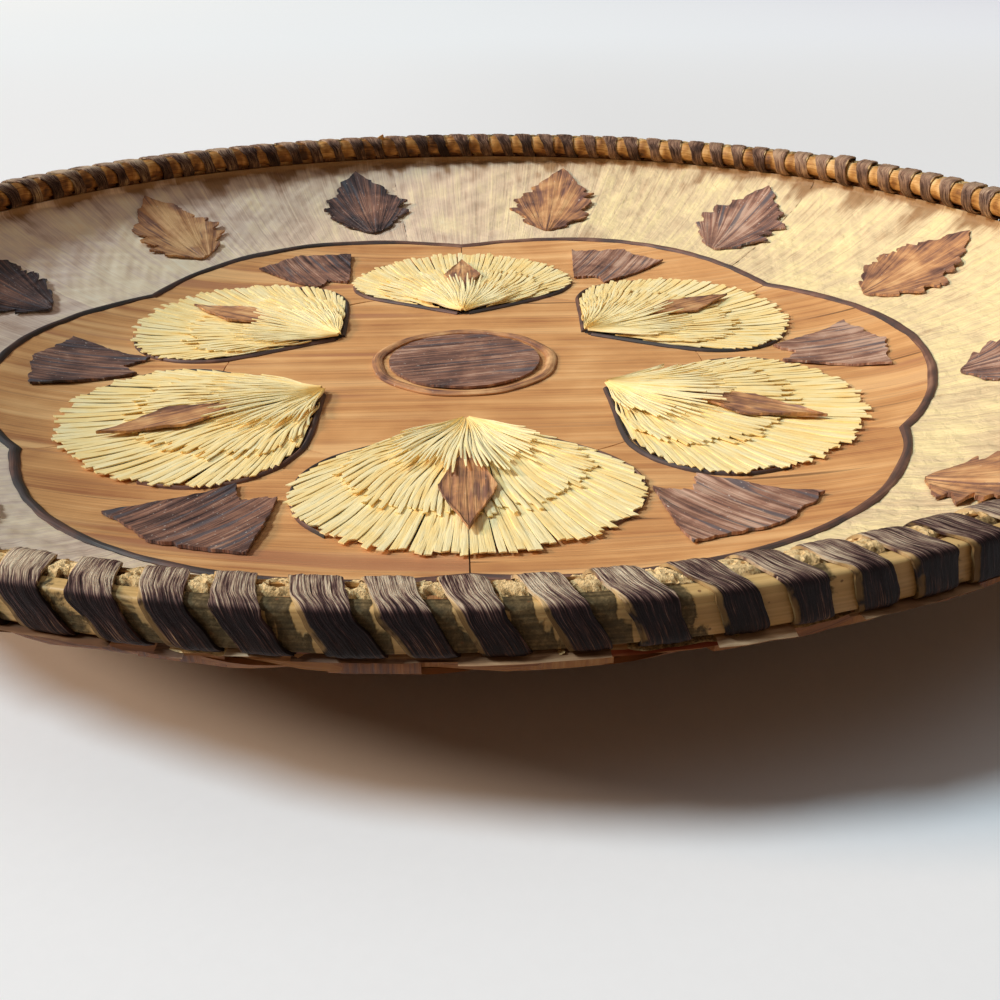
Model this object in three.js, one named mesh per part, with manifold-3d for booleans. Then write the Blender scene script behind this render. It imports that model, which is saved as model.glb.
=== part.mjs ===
// Woven banana leaf tray.
// A plaited leaf mat is pressed into a shallow dish. Its edge is clamped between two split hoops, and a
// fibre strip is wound round both hoops and through slits in the mat. The dish is lined with cut sheets
// of leaf and bark, and the pieces of the pattern lie on the lining.
// Units are millimetres, +Z is up, and the origin is the middle of the flat underside.
import * as THREE from 'three';
import { mergeGeometries, mergeVertices } from 'three/addons/utils/BufferGeometryUtils.js';
import Module from 'manifold-3d';

const wasm = await Module();
wasm.setup();

// Tray
const trayDiameter = 360; // across the outer hoop
const rimTopHeight = 40;
const footRadius = 90; // flat part of the underside
const seatGap = 0.3; // between pieces that touch
const cutOverrun = 5; // how far a cutter runs past what it cuts

// Mat
const matThickness = 2.2;
const neckRadius = 5; // bend from the wall up into the rim, on the underside
const slitMargin = 1.3; // upright mat left below the slits

// Hoops
const hoopHeight = 6.5;
const outerHoopThickness = 2.2;
const innerHoopThickness = 2.6;
const hoopEdge = 0.8; // worn corners of the outer hoop

// Lashing
const stripWidth = 7;
const stripThickness = 0.6;
const strandCount = 6;
const turnsPerStrand = 20;

// Sheets of the lining and pieces laid on it
const sheetThickness = 0.6;
const fringeThickness = 1.6; // layered, combed leaf
const barkThickness = 0.8;
const lobeRise = 9; // how far each lobe of the tan ground bulges past its cusps
const outlineWidth = 2.2;
const centreRingSpace = 2;
const centreRingWidth = 3;
const petalTipSpace = 8; // from the petals to the outline strip
const veinWidth = 13;
const dartSpace = 6; // from the darts to the outline strip
const motifSpace = 2.5; // from the outline strip to the leaf motifs
const motifRimSpace = 2.8; // from the leaf motifs to the neck

// Counts and facets
const petalCount = 6;
const motifsPerPetal = 2;
const ringSegments = 60;
const wallRows = 4;
const neckRows = 2;
const lobeSteps = 10; // along one lobe of the ground
const discSteps = 36;
const hoopSideSteps = 5;
const petalTeeth = 15;
const motifTeeth = 5; // on each side of a leaf motif

// Shares of a piece's own size
const toothDepthShare = 0.16;
const toothLeanShare = 0.35;
const petalRoundShare = 0.2; // power that rounds the toothed edge of a petal
const petalSpreadShare = 0.32; // half the angle that a petal fans out over, as a share of a half turn
const motifFullShare = 0.8; // power that sets how soon a motif grows to its full width
const groundShare = 0.7; // least radius of the tan ground, of the wall's end
const groundDiscShare = 0.37; // of the way out along a petal
const centreShare = 0.18; // of the ground's radius
const petalBaseShare = 0.36;
const motifWidthShare = 0.97; // of a motif's length
const dartLengthShare = 0.45; // of a petal's length
const dartInnerWidthShare = 0.4; // of a dart's length
const dartOuterWidthShare = 1.2;
const veinStartShare = 0.3;
const veinEndShare = 0.86;
const dartNotchShare = 0.18;
const innerRiseShare = 0.25; // how much of a turn's advance lies on the inner hoop
const overTopShare = 0.55; // and how much is done once it has crossed the top
const shoulderShare = 0.65; // how far over the inner hoop the strip lies flat again
const seamShiftShare = 1 / 6; // turn of the wall's seams from the ground's, in petal steps

// Rim, worked out from the outside in
const rimRadius = trayDiameter / 2;
const outerHoopBore = rimRadius - outerHoopThickness;
const matRadius = outerHoopBore - seatGap;
const innerHoopRadius = matRadius - matThickness - seatGap;
const hoopBottom = rimTopHeight - hoopHeight;
const hoopMiddle = rimTopHeight - hoopHeight / 2;
const slitHeight = stripThickness + 2 * seatGap;
const slitBottom = hoopBottom - slitHeight;
const stripClear = seatGap + stripThickness / 2; // middle of the strip to what it is wound on
const neckTop = slitBottom - slitMargin;

// Wall arc: it leaves the flat foot level and meets the neck bend without a corner
const wallRun = matRadius - neckRadius - footRadius;
const wallRise = neckTop - neckRadius;
const wallTurn = 2 * Math.atan2(wallRise, wallRun);
const wallRadius = neckRadius + wallRun / Math.sin(wallTurn);

// Levels of the linings, as depths above the mat's underside
const liningLow = matThickness + seatGap;
const liningHigh = liningLow + sheetThickness;
const pieceLow = liningHigh + seatGap;
const pieceHigh = pieceLow + barkThickness;
const fringeHigh = pieceLow + fringeThickness;
const veinLow = fringeHigh + seatGap;
const veinHigh = veinLow + barkThickness;

// Pattern: the tan ground fills a share of the dish, and the leaf motifs the wall outside it
const wallEnd = footRadius + (wallRadius - pieceHigh) * Math.sin(wallTurn);
const groundRadius = wallEnd * groundShare;
const motifBase = groundRadius + lobeRise + outlineWidth / 2 + motifSpace;
const motifTip = wallEnd - motifRimSpace;
const centreRadius = groundRadius * centreShare;
const centreRingOuter = centreRadius + centreRingSpace + centreRingWidth;
const petalBase = groundRadius * petalBaseShare;
const petalTip = groundRadius - outlineWidth / 2 - petalTipSpace;
const petalLength = petalTip - petalBase;
const groundDiscRadius = petalBase + petalLength * groundDiscShare;
const dartLength = petalLength * dartLengthShare;

const frontAngle = -Math.PI / 2;
const petalStep = 2 * Math.PI / petalCount;
const turnCount = strandCount * turnsPerStrand;
const turnStep = 2 * Math.PI / turnCount;

const finishes = {
  mat: new THREE.MeshStandardMaterial({ color: 0xb08a58, roughness: 0.8, metalness: 0 }),
  outerHoop: new THREE.MeshStandardMaterial({ color: 0xcbb27a, roughness: 0.5, metalness: 0 }),
  innerHoop: new THREE.MeshStandardMaterial({ color: 0xa8703a, roughness: 0.5, metalness: 0 }),
  lashing: new THREE.MeshStandardMaterial({ color: 0x4a3532, roughness: 0.6, metalness: 0 }),
  creamLeaf: new THREE.MeshStandardMaterial({ color: 0xe2d2a4, roughness: 0.7, metalness: 0 }),
  tanBark: new THREE.MeshStandardMaterial({ color: 0xc4935a, roughness: 0.55, metalness: 0 }),
  darkBark: new THREE.MeshStandardMaterial({ color: 0x5a3a30, roughness: 0.6, metalness: 0 }),
  redBark: new THREE.MeshStandardMaterial({ color: 0x965a3a, roughness: 0.6, metalness: 0 }),
  fringe: new THREE.MeshStandardMaterial({ color: 0xe0c98c, roughness: 0.75, metalness: 0 }),
};

// Closed solids and meshes

function toSolid(geometry) {
  const bare = geometry.clone();
  bare.deleteAttribute('normal');
  bare.deleteAttribute('uv');
  const merged = mergeVertices(bare);
  const corners = merged.index.array;
  const kept = [];
  for (let i = 0; i < corners.length; i += 3) {
    const [a, b, c] = corners.slice(i, i + 3);
    if (a !== b && b !== c && c !== a) kept.push(a, b, c);
  }
  return new wasm.Manifold(new wasm.Mesh({
    numProp: 3,
    vertProperties: new Float32Array(merged.attributes.position.array),
    triVerts: new Uint32Array(kept),
  }));
}

function toGeometry(solid) {
  const { vertProperties, triVerts } = solid.getMesh();
  const geometry = new THREE.BufferGeometry();
  geometry.setAttribute('position', new THREE.BufferAttribute(new Float32Array(vertProperties), 3));
  geometry.setIndex(new THREE.BufferAttribute(new Uint32Array(triVerts), 1));
  const faceted = geometry.toNonIndexed();
  faceted.computeVertexNormals();
  return faceted;
}

// A profile of (radius, height) points turned about the upright axis
function revolve(profile) {
  const turned = new THREE.LatheGeometry(profile, ringSegments).rotateX(Math.PI / 2);
  return toSolid(turned);
}

function point(radius, height) {
  return new THREE.Vector2(radius, height);
}

// Dish

// One surface of the dish, from the axis to the end of the wall, at a depth above the underside
function wallLine(depth) {
  const line = [point(0, depth)];
  for (let row = 0; row <= wallRows; row++) {
    const turn = wallTurn * row / wallRows;
    const reach = wallRadius - depth;
    line.push(point(footRadius + reach * Math.sin(turn), wallRadius - reach * Math.cos(turn)));
  }
  return line;
}

// The same surface, carried on up the neck
function dishLine(depth) {
  const line = wallLine(depth);
  for (let row = 1; row <= neckRows; row++) {
    const turn = wallTurn + (Math.PI / 2 - wallTurn) * row / neckRows;
    const reach = neckRadius - depth;
    line.push(point(matRadius - neckRadius + reach * Math.sin(turn), neckTop - reach * Math.cos(turn)));
  }
  return line;
}

function slitAngle(turn) {
  return frontAngle + (turn + 0.5) * turnStep;
}

// The slits through the upright edge of the mat, one for each turn of the lashing
function slitCutters() {
  const boxes = [];
  for (let turn = 0; turn < turnCount; turn++) {
    const box = new THREE.BoxGeometry(matThickness + cutOverrun, stripWidth + 2 * seatGap, slitHeight);
    box.translate(matRadius - matThickness / 2, 0, slitBottom + slitHeight / 2);
    boxes.push(box.rotateZ(slitAngle(turn)));
  }
  return toSolid(mergeGeometries(boxes));
}

function baseMat() {
  const shell = revolve([
    ...dishLine(0),
    point(matRadius, rimTopHeight),
    point(matRadius - matThickness, rimTopHeight),
    ...dishLine(matThickness).reverse(),
  ]);
  return toGeometry(shell.subtract(slitCutters()));
}

// Hoops

function outerHoop() {
  return toGeometry(revolve([
    point(outerHoopBore, hoopBottom),
    point(rimRadius - hoopEdge, hoopBottom),
    point(rimRadius, hoopBottom + hoopEdge),
    point(rimRadius, rimTopHeight - hoopEdge),
    point(rimRadius - hoopEdge, rimTopHeight),
    point(outerHoopBore, rimTopHeight),
    point(outerHoopBore, hoopBottom),
  ]));
}

// The half-round side of the inner hoop, from its top edge down
function innerHoopSide(angle) {
  return point(
    innerHoopRadius - innerHoopThickness * Math.sin(angle),
    hoopMiddle + hoopHeight / 2 * Math.cos(angle),
  );
}

function innerHoop() {
  const section = [];
  for (let step = 0; step <= hoopSideSteps; step++) {
    section.push(innerHoopSide(Math.PI * step / hoopSideSteps));
  }
  section.push(section[0].clone());
  return toGeometry(revolve(section));
}

// Lashing

// One turn of the strip in the section of the rim: from the slit's outer mouth in under the hoops, up
// the inner hoop, over the top and down the outer hoop. share is how much of the turn's advance round
// the rim is done at that place.
function turnStations() {
  const bore = innerHoopRadius - innerHoopThickness;
  const facetSag = bore * (1 - Math.cos(Math.PI / ringSegments));
  const inner = bore - facetSag - stripClear;
  const outer = rimRadius + stripClear;
  const slit = slitBottom + slitHeight / 2;
  const top = rimTopHeight + stripClear;
  return [
    { at: point(outer, slit), share: 0 },
    { at: point(inner, slit), share: 0 },
    { at: point(inner, rimTopHeight - innerHoopThickness / 2), share: innerRiseShare },
    { at: point(bore + innerHoopThickness * shoulderShare, top), share: innerRiseShare },
    { at: point(rimRadius - hoopEdge, top), share: overTopShare },
    { at: point(outer, rimTopHeight - hoopEdge), share: overTopShare },
  ];
}

// Half the strip's thickness, across the corner that the strip makes at a station
function cornerOffset(before, at, after) {
  const across = (from, to) => {
    const along = to.clone().sub(from).normalize();
    return point(along.y, -along.x);
  };
  const normals = [before && across(before, at), after && across(at, after)].filter(Boolean);
  const middle = normals.reduce((sum, normal) => sum.add(normal), point(0, 0)).normalize();
  return middle.multiplyScalar(stripThickness / 2 / middle.dot(normals[0]));
}

// The strip's cross-sections along one strand, each with four corners
function strandSections(strand) {
  const stations = turnStations();
  const route = [];
  for (let turn = 0; turn < turnsPerStrand; turn++) {
    for (const { at, share } of stations) {
      route.push({ at, angle: slitAngle(strand * turnsPerStrand + turn) + share * turnStep });
    }
  }
  const last = stations[0].at;
  const tail = point(last.x, last.y + stripThickness + 2 * seatGap);
  route.push({ at: tail, angle: route.at(-1).angle + (1 - overTopShare) * turnStep });
  return route.map(({ at, angle }, i) => {
    const offset = cornerOffset(route[i - 1]?.at, at, route[i + 1]?.at);
    const corners = [[1, 1], [1, -1], [-1, -1], [-1, 1]];
    return corners.map(([side, face]) => {
      const radius = at.x + face * offset.x;
      return new THREE.Vector3(radius, side * stripWidth / 2, at.y + face * offset.y)
        .applyAxisAngle(new THREE.Vector3(0, 0, 1), angle);
    });
  });
}

// One closed strip through a list of four-cornered cross-sections
function stripGeometry(sections) {
  const sides = sections[0].length;
  const faces = [];
  const quad = (a, b, c, d) => faces.push(a, b, c, a, c, d);
  for (let i = 0; i + 1 < sections.length; i++) {
    for (let side = 0; side < sides; side++) {
      const next = (side + 1) % sides;
      const here = i * sides;
      quad(here + side, here + next, here + sides + next, here + sides + side);
    }
  }
  const end = (sections.length - 1) * sides;
  quad(0, 3, 2, 1);
  quad(end, end + 1, end + 2, end + 3);
  const geometry = new THREE.BufferGeometry().setFromPoints(sections.flat());
  geometry.setIndex(faces);
  const faceted = geometry.toNonIndexed();
  faceted.computeVertexNormals();
  return faceted;
}

// Least distance between two turns of a strand, measured on points along the strip's four corners
function leastGap(sections) {
  const stations = turnStations().length;
  const finer = 4;
  const samples = [];
  for (let i = 0; i + 1 < sections.length; i++) {
    for (let part = 0; part < finer; part++) {
      const corners = sections[i].map((corner, j) => corner.clone().lerp(sections[i + 1][j], part / finer));
      samples.push(corners);
    }
  }
  const apart = Math.ceil(stations / 2) * finer;
  let least = Infinity;
  samples.forEach((one, i) => {
    for (const other of samples.slice(i + apart, i + 3 * apart)) {
      for (const a of one) for (const b of other) least = Math.min(least, a.distanceTo(b));
    }
  });
  return least;
}

// Sheets cut to an outline and laid in the dish

const layers = new Map();

// A layer of the dish between two depths, of which the sheets are cut. Only the lining runs up the neck.
function layer(low, high) {
  const line = high > liningHigh ? wallLine : dishLine;
  const key = `${low} ${high}`;
  if (!layers.has(key)) layers.set(key, revolve([...line(low), ...line(high).reverse()]));
  return layers.get(key);
}

function cutSheet(outline, low, high, hole) {
  const shape = new THREE.Shape(outline);
  if (hole) shape.holes.push(new THREE.Path(hole));
  const depth = rimTopHeight + 2 * cutOverrun;
  const prism = new THREE.ExtrudeGeometry(shape, { depth, bevelEnabled: false });
  return toGeometry(layer(low, high).intersect(toSolid(prism.translate(0, 0, -cutOverrun))));
}

function polar(radius, angle) {
  return point(radius * Math.cos(angle), radius * Math.sin(angle));
}

// Edge of the tan ground: a lobe between every two petals, with a cusp at each petal
function groundEdge(angle) {
  return groundRadius + lobeRise * Math.abs(Math.sin((angle - frontAngle) * petalCount / 2));
}

// Points along a curve round the middle, from one angle to another
function arcPoints(radiusAt, from, to, steps = lobeSteps) {
  const points = [];
  for (let step = 0; step <= steps; step++) {
    const angle = from + (to - from) * step / steps;
    points.push(polar(radiusAt(angle), angle));
  }
  return points;
}

function closedCurve(radiusAt, steps) {
  return arcPoints(radiusAt, frontAngle, frontAngle + 2 * Math.PI, steps).slice(1);
}

// A sector between two curves, drawn in by half a gap at both ends
function sector(innerAt, outerAt, from, to) {
  const trim = (radiusAt) => {
    const back = seatGap / 2 / radiusAt(from);
    return arcPoints(radiusAt, from + back, to - back);
  };
  return [...trim(innerAt), ...trim(outerAt).reverse()];
}

function wallSheet(index) {
  const from = frontAngle + (index + seamShiftShare) * petalStep;
  const past = () => rimRadius + cutOverrun;
  const outline = sector((angle) => groundEdge(angle) + seatGap / 2, past, from, from + petalStep);
  return cutSheet(outline, liningLow, liningHigh);
}

function groundSheet(index) {
  const from = frontAngle + index * petalStep;
  const inner = () => groundDiscRadius + seatGap / 2;
  const outline = sector(inner, (angle) => groundEdge(angle) - seatGap / 2, from, from + petalStep);
  return cutSheet(outline, liningLow, liningHigh);
}

function groundDisc() {
  const edge = closedCurve(() => groundDiscRadius - seatGap / 2, lobeSteps * petalCount);
  return cutSheet(edge, liningLow, liningHigh);
}

function outlineStrip() {
  const steps = lobeSteps * petalCount;
  const outer = closedCurve((angle) => groundEdge(angle) + outlineWidth / 2, steps);
  const inner = closedCurve((angle) => groundEdge(angle) - outlineWidth / 2, steps);
  return cutSheet(outer, pieceLow, pieceHigh, inner);
}

// Pattern

// A leaf outline along +X from its base to its tip, with teeth that lean towards the tip
function toothedLeaf(base, tip, width, teeth) {
  const length = tip - base;
  const reach = (share) => width / 2 * Math.sin(Math.PI * share ** motifFullShare);
  const side = [];
  for (let tooth = 0; tooth < teeth; tooth++) {
    const notch = (tooth + 0.5) / teeth;
    const crown = (tooth + 0.5 + toothLeanShare) / teeth;
    side.push(point(base + length * notch, reach(notch) * (1 - toothDepthShare)));
    if (tooth < teeth - 1) side.push(point(base + length * crown, reach(crown)));
  }
  const mirrored = side.map((place) => point(place.x, -place.y));
  return [point(base, 0), ...mirrored, point(tip, 0), ...side.reverse()];
}

// A fan outline along +X: its rays spread from the base and end in teeth on a rounded edge
function toothedFan(base, tip, teeth) {
  const spread = Math.PI * petalSpreadShare;
  const outline = [point(base, 0)];
  for (let ray = 1; ray < 2 * teeth; ray++) {
    const across = ray / teeth - 1;
    const round = Math.cos(across * Math.PI / 2) ** petalRoundShare;
    const reach = (tip - base) * round * (ray % 2 ? 1 : 1 - toothDepthShare / 2);
    const end = polar(reach, across * spread);
    outline.push(point(base + end.x, end.y));
  }
  return outline;
}

function turned(outline, angle) {
  return outline.map((place) => place.clone().rotateAround(point(0, 0), angle));
}

function petalAngle(index) {
  return frontAngle + index * petalStep;
}

function petal(index) {
  const outline = toothedFan(petalBase, petalTip, petalTeeth);
  return cutSheet(turned(outline, petalAngle(index)), pieceLow, fringeHigh);
}

function petalVein(index) {
  const from = petalBase + petalLength * veinStartShare;
  const to = petalBase + petalLength * veinEndShare;
  const widest = (from + to) / 2;
  const outline = [point(from, 0), point(widest, -veinWidth / 2), point(to, 0), point(widest, veinWidth / 2)];
  return cutSheet(turned(outline, petalAngle(index)), veinLow, veinHigh);
}

function dart(index) {
  const outer = groundRadius + lobeRise - outlineWidth / 2 - dartSpace;
  const inner = outer - dartLength;
  const innerHalf = dartLength * dartInnerWidthShare / 2;
  const outerHalf = dartLength * dartOuterWidthShare / 2;
  const notch = dartLength * dartNotchShare;
  const outline = [
    point(inner, -innerHalf),
    point(outer - notch, -outerHalf),
    point(outer, 0),
    point(outer - notch, outerHalf),
    point(inner, innerHalf),
    point(inner + notch, 0),
  ];
  return cutSheet(turned(outline, petalAngle(index + 0.5)), pieceLow, pieceHigh);
}

function leafMotif(index) {
  const width = (motifTip - motifBase) * motifWidthShare;
  const outline = toothedLeaf(motifBase, motifTip, width, motifTeeth);
  const angle = petalAngle((index + 0.5) / motifsPerPetal);
  return cutSheet(turned(outline, angle), pieceLow, pieceHigh);
}

function centreDisc() {
  return cutSheet(closedCurve(() => centreRadius, discSteps), pieceLow, pieceHigh);
}

function centreRing() {
  const inner = closedCurve(() => centreRadius + centreRingSpace, discSteps);
  const outer = closedCurve(() => centreRingOuter, discSteps);
  return cutSheet(outer, pieceLow, pieceHigh, inner);
}

// The tray

const tray = new THREE.Group();
tray.name = 'woven_leaf_tray';

function add(name, geometry, finish) {
  const mesh = new THREE.Mesh(geometry, finish);
  mesh.name = name;
  tray.add(mesh);
}

function addEach(name, count, make, finish) {
  for (let index = 0; index < count; index++) add(`${name}_${index + 1}`, make(index), finish);
}

add('base_mat', baseMat(), finishes.mat);
add('outer_hoop', outerHoop(), finishes.outerHoop);
add('inner_hoop', innerHoop(), finishes.innerHoop);
addEach('rim_lashing', strandCount, (index) => stripGeometry(strandSections(index)), finishes.lashing);
addEach('wall_sheet', petalCount, wallSheet, finishes.creamLeaf);
add('ground_disc', groundDisc(), finishes.tanBark);
addEach('ground_sheet', petalCount, groundSheet, finishes.tanBark);
add('outline_strip', outlineStrip(), finishes.darkBark);
addEach('petal', petalCount, petal, finishes.fringe);
addEach('petal_vein', petalCount, petalVein, finishes.darkBark);
addEach('dart', petalCount, dart, finishes.darkBark);
addEach('leaf_motif', petalCount * motifsPerPetal, leafMotif, finishes.redBark);
add('centre_disc', centreDisc(), finishes.darkBark);
add('centre_ring', centreRing(), finishes.redBark);

console.log(`lashing: least gap between turns ${leastGap(strandSections(0)).toFixed(2)} mm`);

export default tray;
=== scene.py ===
# %% [markdown]
# A woven leaf tray, seen across its near rim.
# The tray is a plaited mat pressed into a shallow dish. Two split hoops hold its edge, a fibre strip is
# wound round them, and the dish is lined with cut leaf and bark.
# The solids come in as a fixed frame. Every piece made here stands where its solid stands, and takes its
# sizes from it, so nothing has to be fitted afterwards.

# %% Load the frame
import math

import bpy
import numpy as np
from mathutils import Matrix, Vector, noise


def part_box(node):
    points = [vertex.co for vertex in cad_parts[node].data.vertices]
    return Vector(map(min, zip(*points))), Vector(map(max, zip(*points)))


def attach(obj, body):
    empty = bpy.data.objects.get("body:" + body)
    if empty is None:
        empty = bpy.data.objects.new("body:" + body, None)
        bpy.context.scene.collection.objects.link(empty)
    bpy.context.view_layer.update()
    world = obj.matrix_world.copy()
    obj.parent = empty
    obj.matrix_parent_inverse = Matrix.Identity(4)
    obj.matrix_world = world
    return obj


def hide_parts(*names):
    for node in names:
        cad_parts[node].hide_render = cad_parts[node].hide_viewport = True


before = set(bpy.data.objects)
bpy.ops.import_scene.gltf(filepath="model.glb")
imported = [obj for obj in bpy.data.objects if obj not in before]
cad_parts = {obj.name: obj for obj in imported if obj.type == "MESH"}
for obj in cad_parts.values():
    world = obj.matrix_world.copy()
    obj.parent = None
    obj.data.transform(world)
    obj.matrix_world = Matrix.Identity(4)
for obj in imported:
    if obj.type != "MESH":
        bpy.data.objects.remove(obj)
bpy.ops.object.select_all(action="DESELECT")
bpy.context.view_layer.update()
print("nodes in the frame:", len(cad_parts))

# %% [markdown]
# The camera stands low in front of the tray and looks down over its near rim, so near pieces look far
# larger than far ones. Its place was worked out from the two edges of the rim, which are circles on the
# real tray. The lens is written as a distance in pixels, because that is how it was measured.

# %% Camera
picture_pixels = 1000
focal_pixels = 997.3
sensor_width = 36.0
camera_place = Vector((0.0, -0.2747, 0.105))
camera_yaw, camera_pitch, camera_roll = (math.radians(turn) for turn in (2.08, 28.24, -0.51))
nearest_seen = 0.01


def direction(heading, elevation):
    """A unit vector at a heading from the x axis and an elevation above the floor."""
    level = math.cos(elevation)
    return Vector((math.cos(heading) * level, math.sin(heading) * level, math.sin(elevation)))


def aim_camera():
    """Make the camera and turn it by its yaw, pitch and roll."""
    ahead = direction(math.pi / 2 - camera_yaw, -camera_pitch)
    level_right = direction(-camera_yaw, 0)
    level_up = level_right.cross(ahead)
    right = math.cos(camera_roll) * level_right + math.sin(camera_roll) * level_up
    up = math.cos(camera_roll) * level_up - math.sin(camera_roll) * level_right
    bpy.ops.object.camera_add()
    camera = bpy.context.object
    camera.data.sensor_width = sensor_width
    camera.data.lens = sensor_width * focal_pixels / picture_pixels
    camera.data.clip_start = nearest_seen
    turn = Matrix((right, up, -ahead)).transposed().to_4x4()
    camera.matrix_world = Matrix.Translation(camera_place) @ turn
    bpy.context.scene.camera = camera
    return camera


camera = aim_camera()
print("lens in mm:", round(camera.data.lens, 2))

# %% [markdown]
# A tall window lights the tray from the left. Its upper part is cool and strong, its lower part is warm and
# weaker, and where both fall the floor looks neutral. Each part is a sun with a wide disc, which softens
# the shadow under the rim. A third, very weak one stands for light that comes back from the right. The
# world is the room: warm and dim near the horizon, and pale overhead, where the ceiling is. A Light Path
# node shows the camera a pale backdrop instead.

# %% Light
suns = [
    # elevation, heading, strength, width of the disc, colour
    (44.5, 188, 2.79, 11, (0.73, 0.885, 0.985)),
    (26.2, 180, 1.96, 10, (1.0, 0.70, 0.48)),
    (22.0, -15, 0.14, 45, (1.0, 0.80, 0.64)),
]
horizon_light = (0.068, 0.037, 0.018)
ceiling_light = (0.69, 0.69, 0.70)
ceiling_from, ceiling_full = 0.78, 0.98  # sines of elevations
backdrop_colour = (0.80, 0.83, 0.84)


def add_sun(elevation, heading, strength, disc, colour):
    """A sun that shines from a heading and an elevation towards the tray."""
    toward = direction(math.radians(heading), math.radians(elevation))
    bpy.ops.object.light_add(type="SUN")
    lamp = bpy.context.object
    lamp.rotation_euler = toward.to_track_quat("Z", "Y").to_euler()
    lamp.data.energy = strength
    lamp.data.angle = math.radians(disc)
    lamp.data.color = colour
    return lamp


def light_room():
    """A world that lights softly and shows pale to the camera."""
    world = bpy.data.worlds.new("room")
    bpy.context.scene.world = world
    world.use_nodes = True
    nodes, links = world.node_tree.nodes, world.node_tree.links
    kinds = ("TexCoord", "SeparateXYZ", "ValToRGB", "Background", "LightPath", "MixShader")
    toward, parts, ramp, pale, path, mix = (nodes.new(f"ShaderNode{kind}") for kind in kinds)
    soft = nodes["Background"]
    stops = ((ceiling_from, horizon_light), (ceiling_full, ceiling_light))
    for element, (height, colour) in zip(ramp.color_ramp.elements, stops):
        element.position = height
        element.color = (*colour, 1)
    pale.inputs["Color"].default_value = (*backdrop_colour, 1)
    links.new(toward.outputs["Generated"], parts.inputs[0])
    links.new(parts.outputs["Z"], ramp.inputs["Fac"])
    links.new(ramp.outputs["Color"], soft.inputs["Color"])
    links.new(path.outputs["Is Camera Ray"], mix.inputs["Fac"])
    links.new(soft.outputs["Background"], mix.inputs[1])
    links.new(pale.outputs["Background"], mix.inputs[2])
    links.new(mix.outputs["Shader"], nodes["World Output"].inputs["Surface"])


lamps = [add_sun(*sun) for sun in suns]
light_room()
bpy.context.scene.view_settings.view_transform = "Standard"
print("strengths of the suns:", [round(lamp.data.energy, 2) for lamp in lamps])

# %% [markdown]
# A finish is a material made of nodes. Sums written node by node are hard to read, so one small class wraps
# a node's output and lets Python's own signs add the Math nodes. Another class makes the material, and
# adds any node from its type, settings and inputs.


# %% Shader sums
def math_sign(operation, flipped=False):
    """A method that adds a Math node for one of Python's signs."""
    def add_node(self, other):
        pair = (other, self) if flipped else (self, other)
        return self.finish.node("ShaderNodeMath", {"operation": operation}, dict(enumerate(pair)))
    return add_node


class Signal:
    """An output of a node, which can be added to, multiplied and so on."""

    def __init__(self, finish, socket):
        self.finish = finish
        self.socket = socket

    __add__ = math_sign("ADD")
    __radd__ = math_sign("ADD", flipped=True)
    __sub__ = math_sign("SUBTRACT")
    __rsub__ = math_sign("SUBTRACT", flipped=True)
    __mul__ = math_sign("MULTIPLY")
    __rmul__ = math_sign("MULTIPLY", flipped=True)


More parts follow.
